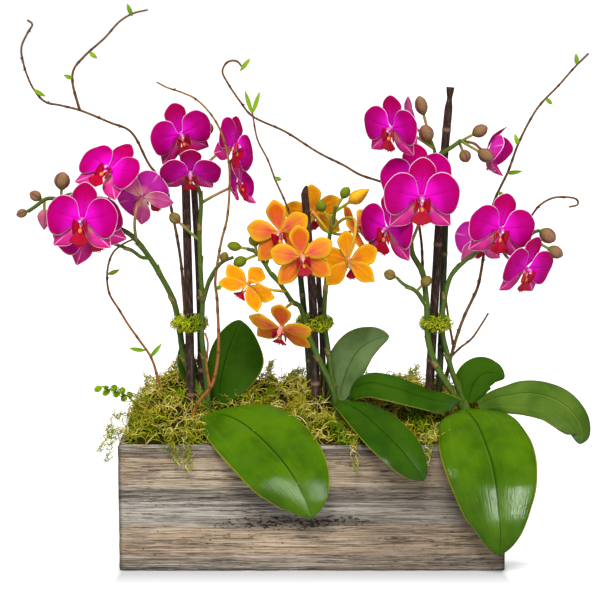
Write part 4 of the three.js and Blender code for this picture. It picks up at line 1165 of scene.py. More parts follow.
@dataclass(frozen=True)
class MossFinish:
    """Dried moss in two tones, flecked with painted shade of its depths."""

    name: str
    pale: Colour
    fresh: Colour
    dark: Colour

    def material(self) -> Material:
        """Builds the material.

        Returns:
            The finished material.
        """
        paint = Paint(self.name, {
            "Roughness": 0.7, "Specular IOR Level": 0.15, "Subsurface Weight": 0.05,
            "Subsurface Scale": 0.002,
        })
        drift = paint.noise(paint.place(), 45, 3)
        fine = paint.noise(paint.place(), 420, 2)
        tone = paint.mix(paint.span(drift, 0.42, 0.6), self.pale, self.fresh)
        # Fine dark flecks: painted shade of the moss's depths.
        tone = paint.over(tone, fine, 0.52, 0.75, 0.6, self.dark)
        paint.colour(tone)
        paint.relief(fine, 0.4, 0.8)
        return paint.material


@dataclass(frozen=True)
class CrumbFinish:
    """A rough, crumbly or matt surface that is mostly hidden."""

    name: str
    base: Colour
    other: Colour
    scale: float
    roughness: float = 0.9

    def material(self) -> Material:
        """Builds the material.

        Returns:
            The finished material.
        """
        paint = Paint(self.name, {"Roughness": self.roughness})
        cells = paint.cells(paint.place(), self.scale, edges=False)
        cloud = paint.noise(paint.place(), self.scale * 1.7, 4)
        tone = paint.mix(paint.span(cloud, 0.35, 0.7), self.base, self.other)
        paint.colour(paint.over(tone, cells, 0.2, 0.7, 0.6, self.base))
        paint.relief(paint.maths("ADD", cells, cloud), 0.8, 0.8)
        return paint.material


class Strands:
    """Curly strands of moss: a few shapes, copied many times."""

    CLUMP = 80

    def __init__(self, dice: Random, shapes: int, length: float, curl: float, thick: float) -> None:
        """Makes the shapes.

        Args:
            dice: The source of chance.
            shapes: How many different shapes.
            length: Their length in millimetres.
            curl: How far they curl, in millimetres.
            thick: Their radius in millimetres.
        """
        self.dice = dice
        self.shapes = []
        for _ in range(shapes):
            bends = []
            phase, spin = dice.uniform(0, 6.3), dice.uniform(4, 9)
            for step in range(7):
                share = step / 6
                swing = curl * (0.4 + share)
                bends.append((
                    length * (share - 0.5) + dice.uniform(-1, 1) * curl * 0.6,
                    swing * math.sin(phase + spin * share) + dice.uniform(-0.5, 0.5),
                    0.7 * swing * math.cos(phase + spin * share) + dice.uniform(-0.5, 0.5),
                ))
            form = Form()
            form.sweep(
                Route(bends), lambda share: thick * (1 - 0.6 * abs(2 * share - 1)), sides=3,
                step=length / 8,
            )
            self.shapes.append(form.mesh())

    def copies(self, stations: Sequence[Matrix]) -> Form:
        """Copies a shape to each station.

        Args:
            stations: Where the copies go.

        Returns:
            One form with all of them.
        """
        whole = Form()
        for start in range(0, len(stations), self.CLUMP):
            clump = Form()
            for station in stations[start:start + self.CLUMP]:
                copy = self.dice.choice(self.shapes).copy()
                copy.transform(station)
                clump.bm.from_mesh(copy)
                bpy.data.meshes.remove(copy)
            whole.join(clump)
        return whole

    def station(self, place: Vector, along: Vector, size: float, spread: float) -> Matrix:
        """A station with its strand roughly along a direction.

        Args:
            place: Its place in metres.
            along: The direction.
            size: Its size as a share of the shape's.
            spread: How far it may stray from the direction.

        Returns:
            The matrix that carries a shape there.
        """
        forward = (along.normalized() + stray(self.dice) * spread).normalized()
        turned = forward.to_track_quat("X", "Z").to_matrix().to_4x4()
        roll = Matrix.Rotation(self.dice.uniform(0, 6.3), 4, "X")
        return Matrix.Translation(place) @ turned @ roll @ Matrix.Scale(size, 4)


@dataclass
class WoodBox:
    """The box of five old boards, with its liner and bark mix inside."""

    wear: float = 1.1
    bevel: float = 1.4
    slice_length: float = 4.0
    rim: float = 1.6
    flat_below: float = 20.0
    bands: Sequence[tuple[float, Colour]] = (
        (0.0, (0.06, 0.052, 0.045)), (0.03, (0.24, 0.2, 0.155)), (0.12, (0.28, 0.22, 0.165)),
        (0.16, (0.46, 0.335, 0.22)), (0.34, (0.42, 0.31, 0.205)), (0.39, (0.3, 0.27, 0.23)),
        (0.46, (0.38, 0.345, 0.3)), (0.54, (0.3, 0.27, 0.23)), (0.58, (0.15, 0.13, 0.105)),
        (0.64, (0.24, 0.205, 0.165)), (0.69, (0.44, 0.34, 0.23)), (0.86, (0.42, 0.31, 0.2)),
        (0.92, (0.2, 0.155, 0.105)), (0.965, (0.13, 0.105, 0.08)), (0.985, (0.32, 0.27, 0.21)),
    )

    def board(self, node: str, axis: Axis, material: Material) -> None:
        """Makes one worn board in place of its solid.

        Args:
            node: The solid's name.
            axis: The way its grain runs.
            material: Its wood.
        """
        low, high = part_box(node)
        form = Form()
        bm = form.bm
        bmesh.ops.create_cube(bm, size=1)
        bmesh.ops.scale(bm, vec=high - low, verts=bm.verts)
        bmesh.ops.translate(bm, vec=(low + high) / 2, verts=bm.verts)
        bmesh.ops.bevel(
            bm, geom=bm.edges[:], offset=self.bevel * MM, offset_type="OFFSET", segments=3, profile=0.5,
            affect="EDGES", material=-1,
        )
        self.slice(bm, low, high, axis)
        self.wear_down(bm, low, high)
        for face in bm.faces:
            face.smooth = True
        form.piece(f"worn_{node}", "wood", [material], [node])

    def slice(self, bm: bmesh.types.BMesh, low: Vector, high: Vector, axis: Axis) -> None:
        """Cuts a board's faces into short lengths, so that they can wear.

        Args:
            bm: The board.
            low: Its lowest corner.
            high: Its highest corner.
            axis: The way its grain runs.
        """
        upright = high.z - low.z > self.flat_below * MM
        for way in (axis.value, 2) if upright else (0, 1):
            count = int((high[way] - low[way]) / (self.slice_length * MM))
            normal = Vector([float(index == way) for index in range(3)])
            for number in range(1, count):
                cut = Vector(low)
                cut[way] += (high[way] - low[way]) * number / count
                geometry = bm.verts[:] + bm.edges[:] + bm.faces[:]
                bmesh.ops.bisect_plane(bm, geom=geometry, plane_co=cut, plane_no=normal)

    def wear_down(self, bm: bmesh.types.BMesh, low: Vector, high: Vector) -> None:
        """Pulls the skin of a board inward in waves, with chips at its edges.

        Args:
            bm: The board.
            low: Its lowest corner.
            high: Its highest corner.
        """
        middle = (low + high) / 2
        for vertex in bm.verts:
            place = vertex.co
            spot = place / MM
            inward = Vector([
                math.copysign(1.0, middle[way] - place[way])
                if min(place[way] - low[way], high[way] - place[way]) < self.rim * MM else 0.0
                for way in range(3)
            ])
            wave = noise.noise(Vector((spot.x * 0.035, spot.y * 0.035, spot.z * 0.22)))
            at_edge = inward.length_squared > 1.5
            chip = max(0.0, noise.noise(spot * 0.09) - 0.05) if at_edge else 0.0
            pull = (0.35 * (wave + 0.5) + self.wear * chip) * MM
            if inward.length:
                vertex.co += inward.normalized() * min(pull, 0.9 * MM)

    def build(self) -> None:
        """Makes the boards and dresses liner and bark."""
        long_wood = WoodFinish("weathered wood lengthwise", Axis.LENGTHWISE, self.bands).material()
        end_wood = WoodFinish("weathered wood crosswise", Axis.CROSSWISE, self.bands).material()
        for node in ("board_front", "board_back", "board_floor"):
            self.board(node, Axis.LENGTHWISE, long_wood)
        for node in ("board_left", "board_right"):
            self.board(node, Axis.CROSSWISE, end_wood)
        for node, finish in (
            ("liner_tray", CrumbFinish("black liner", (0.012, 0.012, 0.012), (0.02, 0.02, 0.02), 90, 0.5)),
            ("bark_mix", CrumbFinish("bark chips", (0.05, 0.026, 0.014), (0.16, 0.08, 0.04), 130)),
        ):
            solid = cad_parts[node]
            solid.data.materials.clear()
            solid.data.materials.append(finish.material())


@dataclass
class MossBed:
    """The mound of moss with its strands, tufts, loose curls and a leafy sprig."""

    seed: int = 11
    foot: float = 102.3
    rise: float = 37.0
    half_length: float = 150.0
    half_depth: float = 48.0
    strands: int = 5400
    curls: int = 760
    tuft_strands: int = 52

    def height(self, x: float, y: float) -> float:
        """Height of the mound at a place, all in millimetres.

        Args:
            x: To the right.
            y: To the back.

        Returns:
            The height over the ground.
        """
        length_share, depth_share = x / self.half_length, y / self.half_depth
        across = (depth_share + 1) / 2
        ridge = (0.2 + across) * (1 - abs(depth_share) ** 6)
        ends = 1 - abs(length_share) ** 12
        bulge = 6 * bump_at(length_share, -0.75, 0.18)
        dip = 10 * bump_at(length_share, 0.95, 0.2)
        rows, columns = 31 * length_share + 2 * depth_share, 9 * depth_share + 5 * length_share
        lumps = 2.2 * math.sin(rows) * math.cos(columns)
        height = (self.rise + bulge - dip + lumps) * max(0.0, ridge) * max(0.0, ends)
        for hollow_x, hollow_y, radius, depth in HOLLOWS:
            height -= depth * math.exp(-(((x - hollow_x) ** 2 + (y - hollow_y) ** 2) / (radius * radius)))
        return self.foot + max(1.2, height)

    def mound(self, material: Material) -> None:
        """Makes the lumpy body of the moss.

        Args:
            material: Its moss.
        """
        def place(across: float, along: float, rim: float, side: int) -> Vector:
            """Gives a place on the mound's top or underside.

            Args:
                across: From -1 to 1.
                along: From -1 to 1.
                rim: Nearness to the outline.
                side: 1 on top, -1 underneath.

            Returns:
                The place in millimetres.
            """
            y = across * (self.half_depth - 1) * (1 - 0.05 * abs(along) ** 6)
            x = along * (self.half_length - 1) * (1 - 0.02 * abs(across) ** 6)
            if side < 0 or rim > AT_RIM:
                return Vector((-x, y, self.foot - 1))
            rough = noise.noise(Vector((x, y, 0)) * 0.22) * 2.4 + noise.noise(Vector((x, y, 9)) * 0.6) * 1.2
            return Vector((-x, y, self.height(-x, y) - 2.4 + rough))

        form = Form()
        form.blade(48, 150, place)
        form.piece("moss_mound", "moss", [material], ["moss_bed"])

    def sprig(self, material: Material) -> None:
        """Makes the small leafy sprig at the left.

        Args:
            material: Its green.
        """
        dice = Random(self.seed + 1)
        form = Form()
        stem = Route([(-140, -8, 124), (-148, -11, 133), (-157, -13, 137), (-168, -14, 141)])
        form.sweep(stem, lambda share: 0.7 - 0.3 * share, sides=7, step=1.5)
        for number in range(11):
            share = 0.3 + 0.07 * number
            foot = stem.at_length(share) / MM
            turn = 2.2 * number
            out = Vector((
                0.5 * math.cos(turn) - 0.3, 0.8 * math.sin(turn) - 0.2, 0.7 * math.cos(turn + 0.7),
            ))
            tip = foot + out.normalized() * dice.uniform(5, 7.5)
            self.leaflet(form, foot, tip, 2.6)
        form.piece("moss_sprig", "moss", [material])

    def leaflet(self, form: Form, foot: Vector, tip: Vector, half: float) -> None:
        """Adds one small round leaf to the sprig.

        Args:
            form: The sprig.
            foot: Where the leaf starts.
            tip: Where it ends.
            half: Its half width.
        """
        way = tip - foot
        side = way.cross(Vector((0, -1, 0.3))).normalized()
        front = side.cross(way).normalized()

        def place(across: float, along: float, rim: float, face: int) -> Vector:
            """Gives a place on the leaf.

            Args:
                across: From -1 to 1.
                along: From -1 to 1.
                rim: Nearness to the outline.
                face: 1 in front, -1 behind.

            Returns:
                The place in millimetres.
            """
            share = (along + 1) / 2
            lift = 1.2 * share * share + 0.5 * across * across + 0.25 * face * (1 - rim ** 4)
            return foot + way * share + side * across * half + front * lift

        form.blade(6, 6, place, disc=True)

    def build(self) -> None:
        """Makes the mound, the strands over it, the tufts and the loose curls."""
        finishes = {
            "straw": MossFinish("straw moss", (0.6, 0.5, 0.09), (0.4, 0.34, 0.025), (0.16, 0.1, 0.012)),
            "olive": MossFinish("olive moss", (0.3, 0.28, 0.01), (0.16, 0.19, 0.004), (0.05, 0.05, 0.003)),
            "green": MossFinish("green moss", (0.17, 0.3, 0.003), (0.1, 0.21, 0.002), (0.03, 0.06, 0.002)),
            "cream": MossFinish("pale moss", (0.68, 0.58, 0.24), (0.52, 0.46, 0.12), (0.3, 0.22, 0.06)),
            "shade": MossFinish(
                "shaded moss", (0.03, 0.024, 0.004), (0.015, 0.016, 0.002), (0.004, 0.004, 0.001),
            ),
        }
        paints = {kind: finish.material() for kind, finish in finishes.items()}
        self.mound(paints["shade"])
        self.sprig(paints["green"])
        dice = Random(self.seed)
        shapes = {
            "mat": Strands(dice, 14, 14, 2.8, 0.55),
            "loose": Strands(dice, 10, 24, 5.2, 0.6),
        }
        heaps: dict[tuple[str, str], list[Matrix]] = {}
        for scatter, shape in ((self.mat, "mat"), (self.loose, "loose"), (self.tufts, "mat")):
            for kind, station in scatter(dice, shapes[shape]):
                heaps.setdefault((kind, shape), []).append(station)
        for (kind, shape), stations in heaps.items():
            shapes[shape].copies(stations).piece(f"{kind}_moss_{shape}_strands", "moss", [paints[kind]])

    def mat(self, dice: Random, strands: Strands) -> Iterator[tuple[str, Matrix]]:
        """Lays the mat of short strands over the mound.

        Args:
            dice: The source of chance.
            strands: The shapes of the strands.

        Yields:
            The kind of moss and the station of each strand.
        """
        for _ in range(self.strands):
            x = dice.uniform(-1, 1) * (self.half_length - 3)
            y = dice.uniform(-1, 1) * (self.half_depth - 2)
            clump = noise.noise(Vector((x, y, 5)) * 0.1)
            if clump < -0.2:
                continue
            place = Vector((x, y, self.height(x, y) + 6 * clump + dice.uniform(-2, 2)))
            flow = Vector((dice.uniform(-1, 1), dice.uniform(-1, 1), dice.uniform(-0.3, 0.5)))
            patch = noise.noise(Vector((x, y, 3)) * 0.035) + dice.uniform(-0.3, 0.3) + 0.3 * (y < -24)
            kind = "green" if patch > 0.3 else "olive" if patch > -0.02 else "straw"
            yield kind, strands.station(place * MM, flow, dice.uniform(0.55, 1.1), 0.3)

    def loose(self, dice: Random, strands: Strands) -> Iterator[tuple[str, Matrix]]:
        """Drops long loose curls on the mat.

        Args:
            dice: The source of chance.
            strands: The shapes of the curls.

        Yields:
            The kind of moss and the station of each curl.
        """
        for _ in range(self.curls):
            x = dice.uniform(-1, 1) * (self.half_length - 3)
            y = dice.uniform(-1, 0.9) * (self.half_depth - 1)
            place = Vector((x, y, self.height(x, y) + dice.uniform(0, 4.5)))
            flow = Vector((dice.uniform(-1, 1), dice.uniform(-1, 1), dice.uniform(-0.5, 0.5)))
            kind = dice.choice(("cream", "straw", "straw", "olive"))
            yield kind, strands.station(place * MM, flow, dice.uniform(0.5, 1.0), 0.3)

    def tufts(self, dice: Random, strands: Strands) -> Iterator[tuple[str, Matrix]]:
        """Gathers short strands into the tufts that stand up or hang over the rim.

        Args:
            dice: The source of chance.
            strands: The shapes of the strands.

        Yields:
            The kind of moss and the station of each strand.
        """
        for foot, bend, tip in TUFTS:
            route = Route((foot, bend, tip))
            for _ in range(self.tuft_strands):
                share = dice.random() ** 0.8
                girth = 6.4 * (1 - 0.7 * share)
                jitter = Vector([dice.gauss(0, 1) for _ in range(3)]) * girth * 0.45
                place = route.at_length(share) + jitter * MM
                kind = dice.choice(("olive", "green", "straw", "cream", "olive"))
                yield kind, strands.station(place, route.tangent(share), dice.uniform(0.4, 0.85), 0.8)


@dataclass
class TieMoss:
    """The three collars of bright moss."""

    seed: int = 23
    strands: int = 330

    def build(self) -> None:
        """Makes each collar from a lumpy core painted near black as shade, and strands wound round it."""
        bright = MossFinish("bright tie moss", (0.44, 0.48, 0.015), (0.22, 0.3, 0.008), (0.09, 0.12, 0.005))
        # The core is painted near black: painted shade in the gaps between the strands.
        core = MossFinish("tie moss core", (0.07, 0.08, 0.005), (0.04, 0.05, 0.003), (0.015, 0.02, 0.002))
        paints = [bright.material(), core.material()]
        dice = Random(self.seed)
        curls = Strands(dice, 12, 9, 2.1, 0.55)
        for tie in TIES:
            centre, half = Vector(tie.centre), Vector(tie.half)
            form = Form()
            bmesh.ops.create_icosphere(form.bm, subdivisions=4, radius=1)
            for vertex in form.bm.verts:
                rough = 0.78 + 0.12 * noise.noise(vertex.co * 3.1) + 0.06 * noise.noise(vertex.co * 9)
                vertex.co = (centre + vertex.co * half * rough) * MM
            for face in form.bm.faces:
                face.smooth = True
                face.material_index = 1
            stations = []
            for _ in range(self.strands):
                turn, lift = dice.uniform(0, 2 * math.pi), dice.uniform(-1.1, 1.1)
                flat = math.cos(lift)
                out = Vector((math.cos(turn) * flat, math.sin(turn) * flat, math.sin(lift)))
                spread = Vector([dice.uniform(0.76, 0.95) for _ in range(3)])
                place = centre + out * half * spread
                around = Vector((-math.sin(turn), math.cos(turn), dice.uniform(-0.9, 0.9)))
                stations.append(curls.station(place * MM, around, dice.uniform(0.5, 0.9), 0.5))
            form.join(curls.copies(stations))
            form.piece(f"{tie.node}_strands", "tie_moss", paints, [tie.node])


@dataclass
class Canes:
    """The cane stakes."""

    ring_height: float = 1.6

    def build(self) -> None:
        """Makes each stake with its nodes in place of its solid."""
        paints = {
            "cane": CaneFinish(
                "dark cane", (0.01, 0.006, 0.005), (0.034, 0.017, 0.012), (0.15, 0.085, 0.065),
                (0.2, 0.11, 0.07),
            ).material(),
            "green_cane": CaneFinish(
                "green cane", (0.01, 0.014, 0.006), (0.03, 0.042, 0.012), (0.08, 0.095, 0.035),
                (0.14, 0.12, 0.05),
            ).material(),
        }
        for cane in CANES:
            route = Route(cane.limb.route)
            long = route.length / MM
            start, end = cane.limb.radius
            swell = swelling(long, cane.rings, self.ring_height)

            def radius(share: float) -> float:
                """Radius of the cane, with its nodes and the worn neck under its top."""
                worn = 0.35 * bump_at(share * long, long - cane.neck, 5) if cane.neck else 0.0
                return (start + (end - start) * share) * (1 + 0.1 * swell(share) - worn)

            form = Form()
            form.sweep(
                route, radius, sides=16, step=1.5, lobes=0.1 if cane.neck else 0.0,
                mark=lambda share: 0.9 * swell(share), slant=cane.slant,
            )
            form.piece(f"{cane.node}_cane", cane.slot, [paints[cane.slot]], [cane.node])


@dataclass
class Willow:
    """The curly willow branches."""

    seed: int = 5
    node_step: float = 17.0
    node_width: float = 1.5

    def leaflet(self, form: Form, foot: Place, tip: Place, dice: Random) -> None:
        """Adds one small pointed leaf.

        Args:
            form: The branch.
            foot: Where the leaf starts.
            tip: Where it ends.
            dice: The source of chance.
        """
        start, end = Vector(foot), Vector(tip)
        way = end - start
        side = way.cross(Vector((0, -1, 0))).normalized()
        front = side.cross(way).normalized()
        curl = dice.uniform(0.5, 1.6)

        def place(across: float, along: float, rim: float, face: int) -> Vector:
            """Gives a place on the leaf.

            Args:
                across: From -1 to 1.
                along: From -1 to 1.
                rim: Nearness to the outline.
                face: 1 in front, -1 behind.

            Returns:
                The place in millimetres.
            """
            share = (along + 1) / 2
            width = 1.8 * math.sin(math.pi * share ** 0.9) ** 0.8 if 0 < share < 0.999 else 0.0
            depth = 0.22 * face * (0.0 if rim > AT_RIM else 1.0)
            lift = curl * math.sin(math.pi * share) + 0.8 * width * abs(across) * 0.4
            return start + way * share + side * across * width + front * (lift + depth)

        form.blade(6, 10, place, (1, 1))

    def build(self) -> None:
        """Makes each branch in place of its solid."""
        bark = CaneFinish(
            "willow bark", (0.04, 0.016, 0.007), (0.13, 0.055, 0.018), (0.33, 0.18, 0.055),
            (0.07, 0.03, 0.015), roughness=0.5, stripes=3.0, stretch=0.06,
        ).material()
        olive_bark = CaneFinish(
            "green willow bark", (0.08, 0.032, 0.006), (0.26, 0.105, 0.016), (0.42, 0.22, 0.05),
            (0.08, 0.03, 0.01), roughness=0.5, stripes=3.0, stretch=0.06, foot=(0.3, 0.1, 0.025),
        ).material()
        young = LeafFinish(
            "young willow leaf", (0.24, 0.42, 0.01), (0.13, 0.28, 0.005), (0.36, 0.5, 0.03),
            (0.36, 0.5, 0.06), 0.42,
        ).material()
        dice = Random(self.seed)
        for branch in BRANCHES:
            form = Form()
            for limb in branch.limbs:
                route = Route(limb.route)
                long = route.length / MM
                count = int(long / self.node_step)
                nodes = [dice.uniform(0, 14) + self.node_step * step for step in range(count)]
                start, end = limb.radius
                swell = swelling(long, nodes, self.node_width)
                form.sweep(
                    route, lambda share: (start + (end - start) * share ** 0.5) * (1 + 0.22 * swell(share)),
                    sides=9, step=2.0, mark=lambda share: 0.8 * swell(share),
                )
                for node in nodes:
                    spot = route.at_length(node / long) / MM
                    way = stray(dice).normalized()
                    girth = start + (end - start) * node / long
                    places = [spot + way * reach for reach in (girth * 0.3, girth + 0.9, girth + 1.5)]
                    form.sweep(
                        Route(places), lambda share: 0.75 * (1 - share) + 0.12, sides=6, step=0.5,
                        mark=lambda share: 0.9,
                    )
            for foot, tip in branch.leaves:
                self.leaflet(form, foot, tip, dice)
            paint = olive_bark if branch.node in ("branch_left_front", "branch_left_low") else bark
            form.piece(f"{branch.node}_twigs", "willow", [paint, young], [branch.node])


@dataclass
class Foliage:
    """The long waxy leaves."""

    thick: float = 2.4
    base: float = 0.05

    def outline(self, share: float, leaf: Leaf) -> float:
        """Half width at a share of the length, as a share of the widest.

        Args:
            share: How far along the leaf.
            leaf: The leaf.

        Returns:
            The half width, from 0 to 1.
        """
        if share > 0.9999:
            return 0.0
        placed = self.base + (1 - self.base) * share
        return math.sin(math.pi * placed ** (math.log(0.5) / math.log(leaf.widest))) ** leaf.round

    def blade(self, leaf: Leaf) -> Form:
        """Makes the blade of one leaf.

        Args:
            leaf: The leaf.

        Returns:
            Its form.
        """
        route = Route(leaf.spine)
        facings = [Vector(facing).normalized() for facing in leaf.facing]

        def place(across: float, along: float, rim: float, face: int) -> Vector:
            """Gives a place on the leaf.

            Args:
                across: From -1 to 1.
                along: From -1 to 1.
                rim: Nearness to the outline.
                face: 1 in front, -1 behind.

            Returns:
                The place in millimetres.
            """
            share = (1 - math.cos(math.pi * (along + 1) / 2)) / 2
            tangent = route.tangent(share)
            stretch = share * (len(facings) - 1)
            station = min(len(facings) - 2, int(stretch))
            facing = facings[station].lerp(facings[station + 1], stretch - station)
            facing = (facing - tangent * tangent.dot(facing)).normalized()
            side = tangent.cross(facing)
            wide = abs(across)
            half = (leaf.left_width or leaf.width) if across < 0 else leaf.width
            width = half * self.outline(share, leaf)
            rise = width * (leaf.fold * wide - leaf.droop * across * across)
            rise -= 0.9 * bump_at(across, 0, 0.05) * (1 - share)
            rise += 0.25 * math.sin(9 * share + 3 * across) * wide
            thinner = (1 - 0.55 * wide) * min(1.0, 8 * (1 - wide) + 0.1)
            body = 0.0 if rim > AT_RIM else face * 0.5 * self.thick * thinner
            return route.point(share) / MM + side * across * width + facing * (rise + body)

        form = Form()
        form.blade(28, 64, place, (0, 1))
        return form

    def build(self) -> None:
        """Makes each leaf in place of its solid."""
        yellow = (0.5, 0.52, 0.03)
        glossy = LeafFinish(
            "glossy leaf", (0.06, 0.14, 0.0012), (0.03, 0.088, 0.0006), yellow, (0.16, 0.28, 0.03),
            0.17, 0.34,
        ).material()
        dark = LeafFinish(
            "dark leaf", (0.026, 0.076, 0.0015), (0.013, 0.05, 0.0008), yellow, (0.06, 0.14, 0.01),
            0.24, 0.3,
        ).material()
        # Its strong painted highlight line stands in for the shine along the leaf's fold.
        matt = LeafFinish(
            "matt leaf", (0.075, 0.135, 0.014), (0.035, 0.085, 0.005), yellow, (0.3, 0.36, 0.05),
            0.33, 0.3, 0.95,
        ).material()
        dull = LeafFinish(
            "dull leaf", (0.105, 0.165, 0.055), (0.045, 0.09, 0.018), yellow, (0.2, 0.27, 0.1), 0.33, 0.3,
        ).material()
        under = LeafFinish(
            "leaf underside", (0.09, 0.16, 0.014), (0.06, 0.12, 0.009), yellow, (0.14, 0.25, 0.03),
            0.42, 0.2,
        ).material()
        tops = {
            "right_leaf_front": glossy, "left_leaf_front": glossy, "right_leaf_arching": matt,
            "middle_leaf_upright": dull,
        }
        for leaf in LEAVES:
            materials = [tops.get(leaf.node, dark), under]
            self.blade(leaf).piece(f"{leaf.node}_blade", "leaf", materials, [leaf.node])


@dataclass
class Stems:
    """Crowns, flower spikes, stalks and buds of the three plants."""

    seed: int = 31
    node_step: float = 26.0
    node_width: float = 1.4
    hub_depth: float = 3.0

    def spike(self, form: Form, spike: Limb, dice: Random) -> None:
        """Adds one spike with its nodes and bracts.

        Args:
            form: The plant.
            spike: Its spike.
            dice: The source of chance.
        """
        route = Route(spike.route)
        long = route.length / MM
        start, end = spike.radius
        nodes = [self.node_step * (step + 0.7) for step in range(int(long / self.node_step))]
        swell = swelling(long, nodes, self.node_width)
        form.sweep(
            route, lambda share: (start + (end - start) * share) * (1 + 0.14 * swell(share)), sides=12,
            step=1.8, mark=lambda share: 0.25 * swell(share) + 0.35 * share,
        )
        for number, node in enumerate(nodes):
            share = node / long
            foot = route.at_length(share) / MM
            tip = route.at_length(min(1.0, share + 7 / long)) / MM
            turn = number * math.pi + dice.uniform(-0.5, 0.5)
            self.bract(form, foot, tip, start + (end - start) * share, turn)

    def bract(self, form: Form, foot: Vector, tip: Vector, girth: float, turn: float) -> None:
        """Adds a small scale that clasps a stem at a node.

        Args:
            form: The plant.
            foot: Where the scale starts.
            tip: A place further up the stem.
            girth: The stem's radius.
            turn: Which way it faces round the stem, in radians.
        """
        way = (tip - foot).normalized()
        out = way.orthogonal().normalized()
        out.rotate(Matrix.Rotation(turn, 3, way))
        side = way.cross(out)

        def place(across: float, along: float, rim: float, face: int) -> Vector:
            """Gives a place on the scale.

            Args:
                across: From -1 to 1.
                along: From -1 to 1.
                rim: Nearness to the outline.
                face: 1 in front, -1 behind.

            Returns:
                The place in millimetres.
            """
            share = (along + 1) / 2
            angle = across * 1.5 * (1 - share) ** 0.7
            reach = girth + 0.15 + 0.9 * share * share + 0.22 * face * (0.0 if rim > AT_RIM else 1.0)
            return foot + way * 7 * share + (out * math.cos(angle) + side * math.sin(angle)) * reach

        form.blade(8, 6, place, (BRACT, BRACT))

    def stalk(self, form: Form, bloom: Bloom) -> None:
        """Adds the stalk of a bloom, up into its hub.

        Args:
            form: The plant.
            bloom: The bloom.
        """
        placing = bloom.placing()
        end = placing @ Vector((0, 0, -self.hub_depth * 0.6 * MM)) / MM
        before = placing @ Vector((0, 0, (-self.hub_depth - 4) * MM)) / MM
        form.sweep(
            Route([*bloom.stalk, before, end]), lambda share: 1.3 - 0.25 * share + 0.5 * share ** 8,
            sides=9, step=1.6, material=STALK, mark=lambda share: 0.2 + 0.75 * share,
        )

    def bud(self, form: Form, bud: Bud) -> None:
        """Adds a closed or opening bud on its short stalk.

        Args:
            form: The plant.
            bud: Its bud.
        """
        foot, tip = Vector(bud.foot), Vector(bud.tip)
        length = (tip - foot).length
        stalk = max(0.4, length - bud.long)
        course = OPENING_COURSE if bud.opening else BUD_COURSE
        material = YOUNG_BUD if bud.young else OPENING_BUD if bud.opening else BUD
        form.sweep(
            Route([foot, (foot + tip) / 2, foot.lerp(tip, (stalk + 1.5) / length)]), lambda share: 1.15,
            sides=9, step=1.2, material=STALK, mark=lambda share: 0.5 * share,
        )
        form.sweep(
            Route([foot.lerp(tip, stalk / length), foot.lerp(tip, (stalk + bud.long / 2) / length), tip]),
            lambda share: bud.width * eased(course, share), sides=24, step=0.8, material=material,
            lobes=0.09 if bud.opening else 0.055,
            mark=lambda share: 0.95 * (1 - share) ** 2 + 0.35 * bump_at(share, 0.75, 0.2),
        )

    def build(self) -> None:
        """Makes the stems of each plant in place of their solid."""
        green = SkinFinish(
            "green stem", (0.05, 0.11, 0.01), (0.12, 0.13, 0.02), (0.09, 0.035, 0.025), 0.36, 0.5,
        )
        bract = SkinFinish("bract", (0.2, 0.15, 0.04), (0.26, 0.2, 0.06), (0.14, 0.05, 0.025), 0.5, 0.6)
        brown_bud = SkinFinish(
            "olive brown bud", (0.29, 0.12, 0.08), (0.14, 0.14, 0.02), (0.14, 0.035, 0.04), 0.36, 0.5, 0.95,
        )
        young_bud = SkinFinish(
            "young olive bud", (0.17, 0.17, 0.025), (0.2, 0.1, 0.03), (0.16, 0.06, 0.03), 0.36, 0.4, 0.8,
        )
        green_bud = SkinFinish(
            "green bud", (0.15, 0.2, 0.008), (0.1, 0.17, 0.005), (0.3, 0.2, 0.02), 0.36, 0.25, 0.6,
        )
        pink_bud = SkinFinish(
            "opening pink bud", (0.46, 0.05, 0.2), (0.4, 0.17, 0.1), (0.3, 0, 0.12), 0.45, 0.3, 0.7,
        )
        gold_bud = SkinFinish(
            "opening golden bud", (0.82, 0.42, 0.01), (0.7, 0.4, 0.02), (0.75, 0.2, 0.02), 0.45, 0.3, 0.7,
        )
        stalk = SkinFinish("flower stalk", (0.13, 0.2, 0.02), (0.5, 0.2, 0.13), (0.3, 0.1, 0.08), 0.38, 0.2)
        gold_stalk = SkinFinish(
            "golden stalk", (0.16, 0.24, 0.015), (0.7, 0.36, 0.03), (0.4, 0.2, 0.04), 0.38, 0.2,
        )
        shared = [green.material(), bract.material()]
        materials = {
            kind: [*shared, *(finish.material() for finish in own)]
            for kind, own in (
                (Kind.MAGENTA, (brown_bud, pink_bud, stalk, young_bud)),
                (Kind.ORANGE, (green_bud, gold_bud, gold_stalk)),
            )
        }
        dice = Random(self.seed)
        for plant in PLANTS:
            form = Form()
            x, y = plant.crown
            form.sweep(
                Route([(x, y, 95), (x, y, 110), (x, y, 128)]),
                lambda share: 6.5 * math.sin(math.pi * (0.15 + 0.8 * share)), sides=20, step=1.5,
                lobes=0.08,
            )
            for spike in plant.spikes:
                self.spike(form, spike, dice)
            for bloom in plant.blooms:
                self.stalk(form, bloom)
            for bud in plant.buds:
                self.bud(form, bud)
            form.piece(f"{plant.side}_spikes", "stem", materials[plant.kind], [f"{plant.side}_plant_stems"])


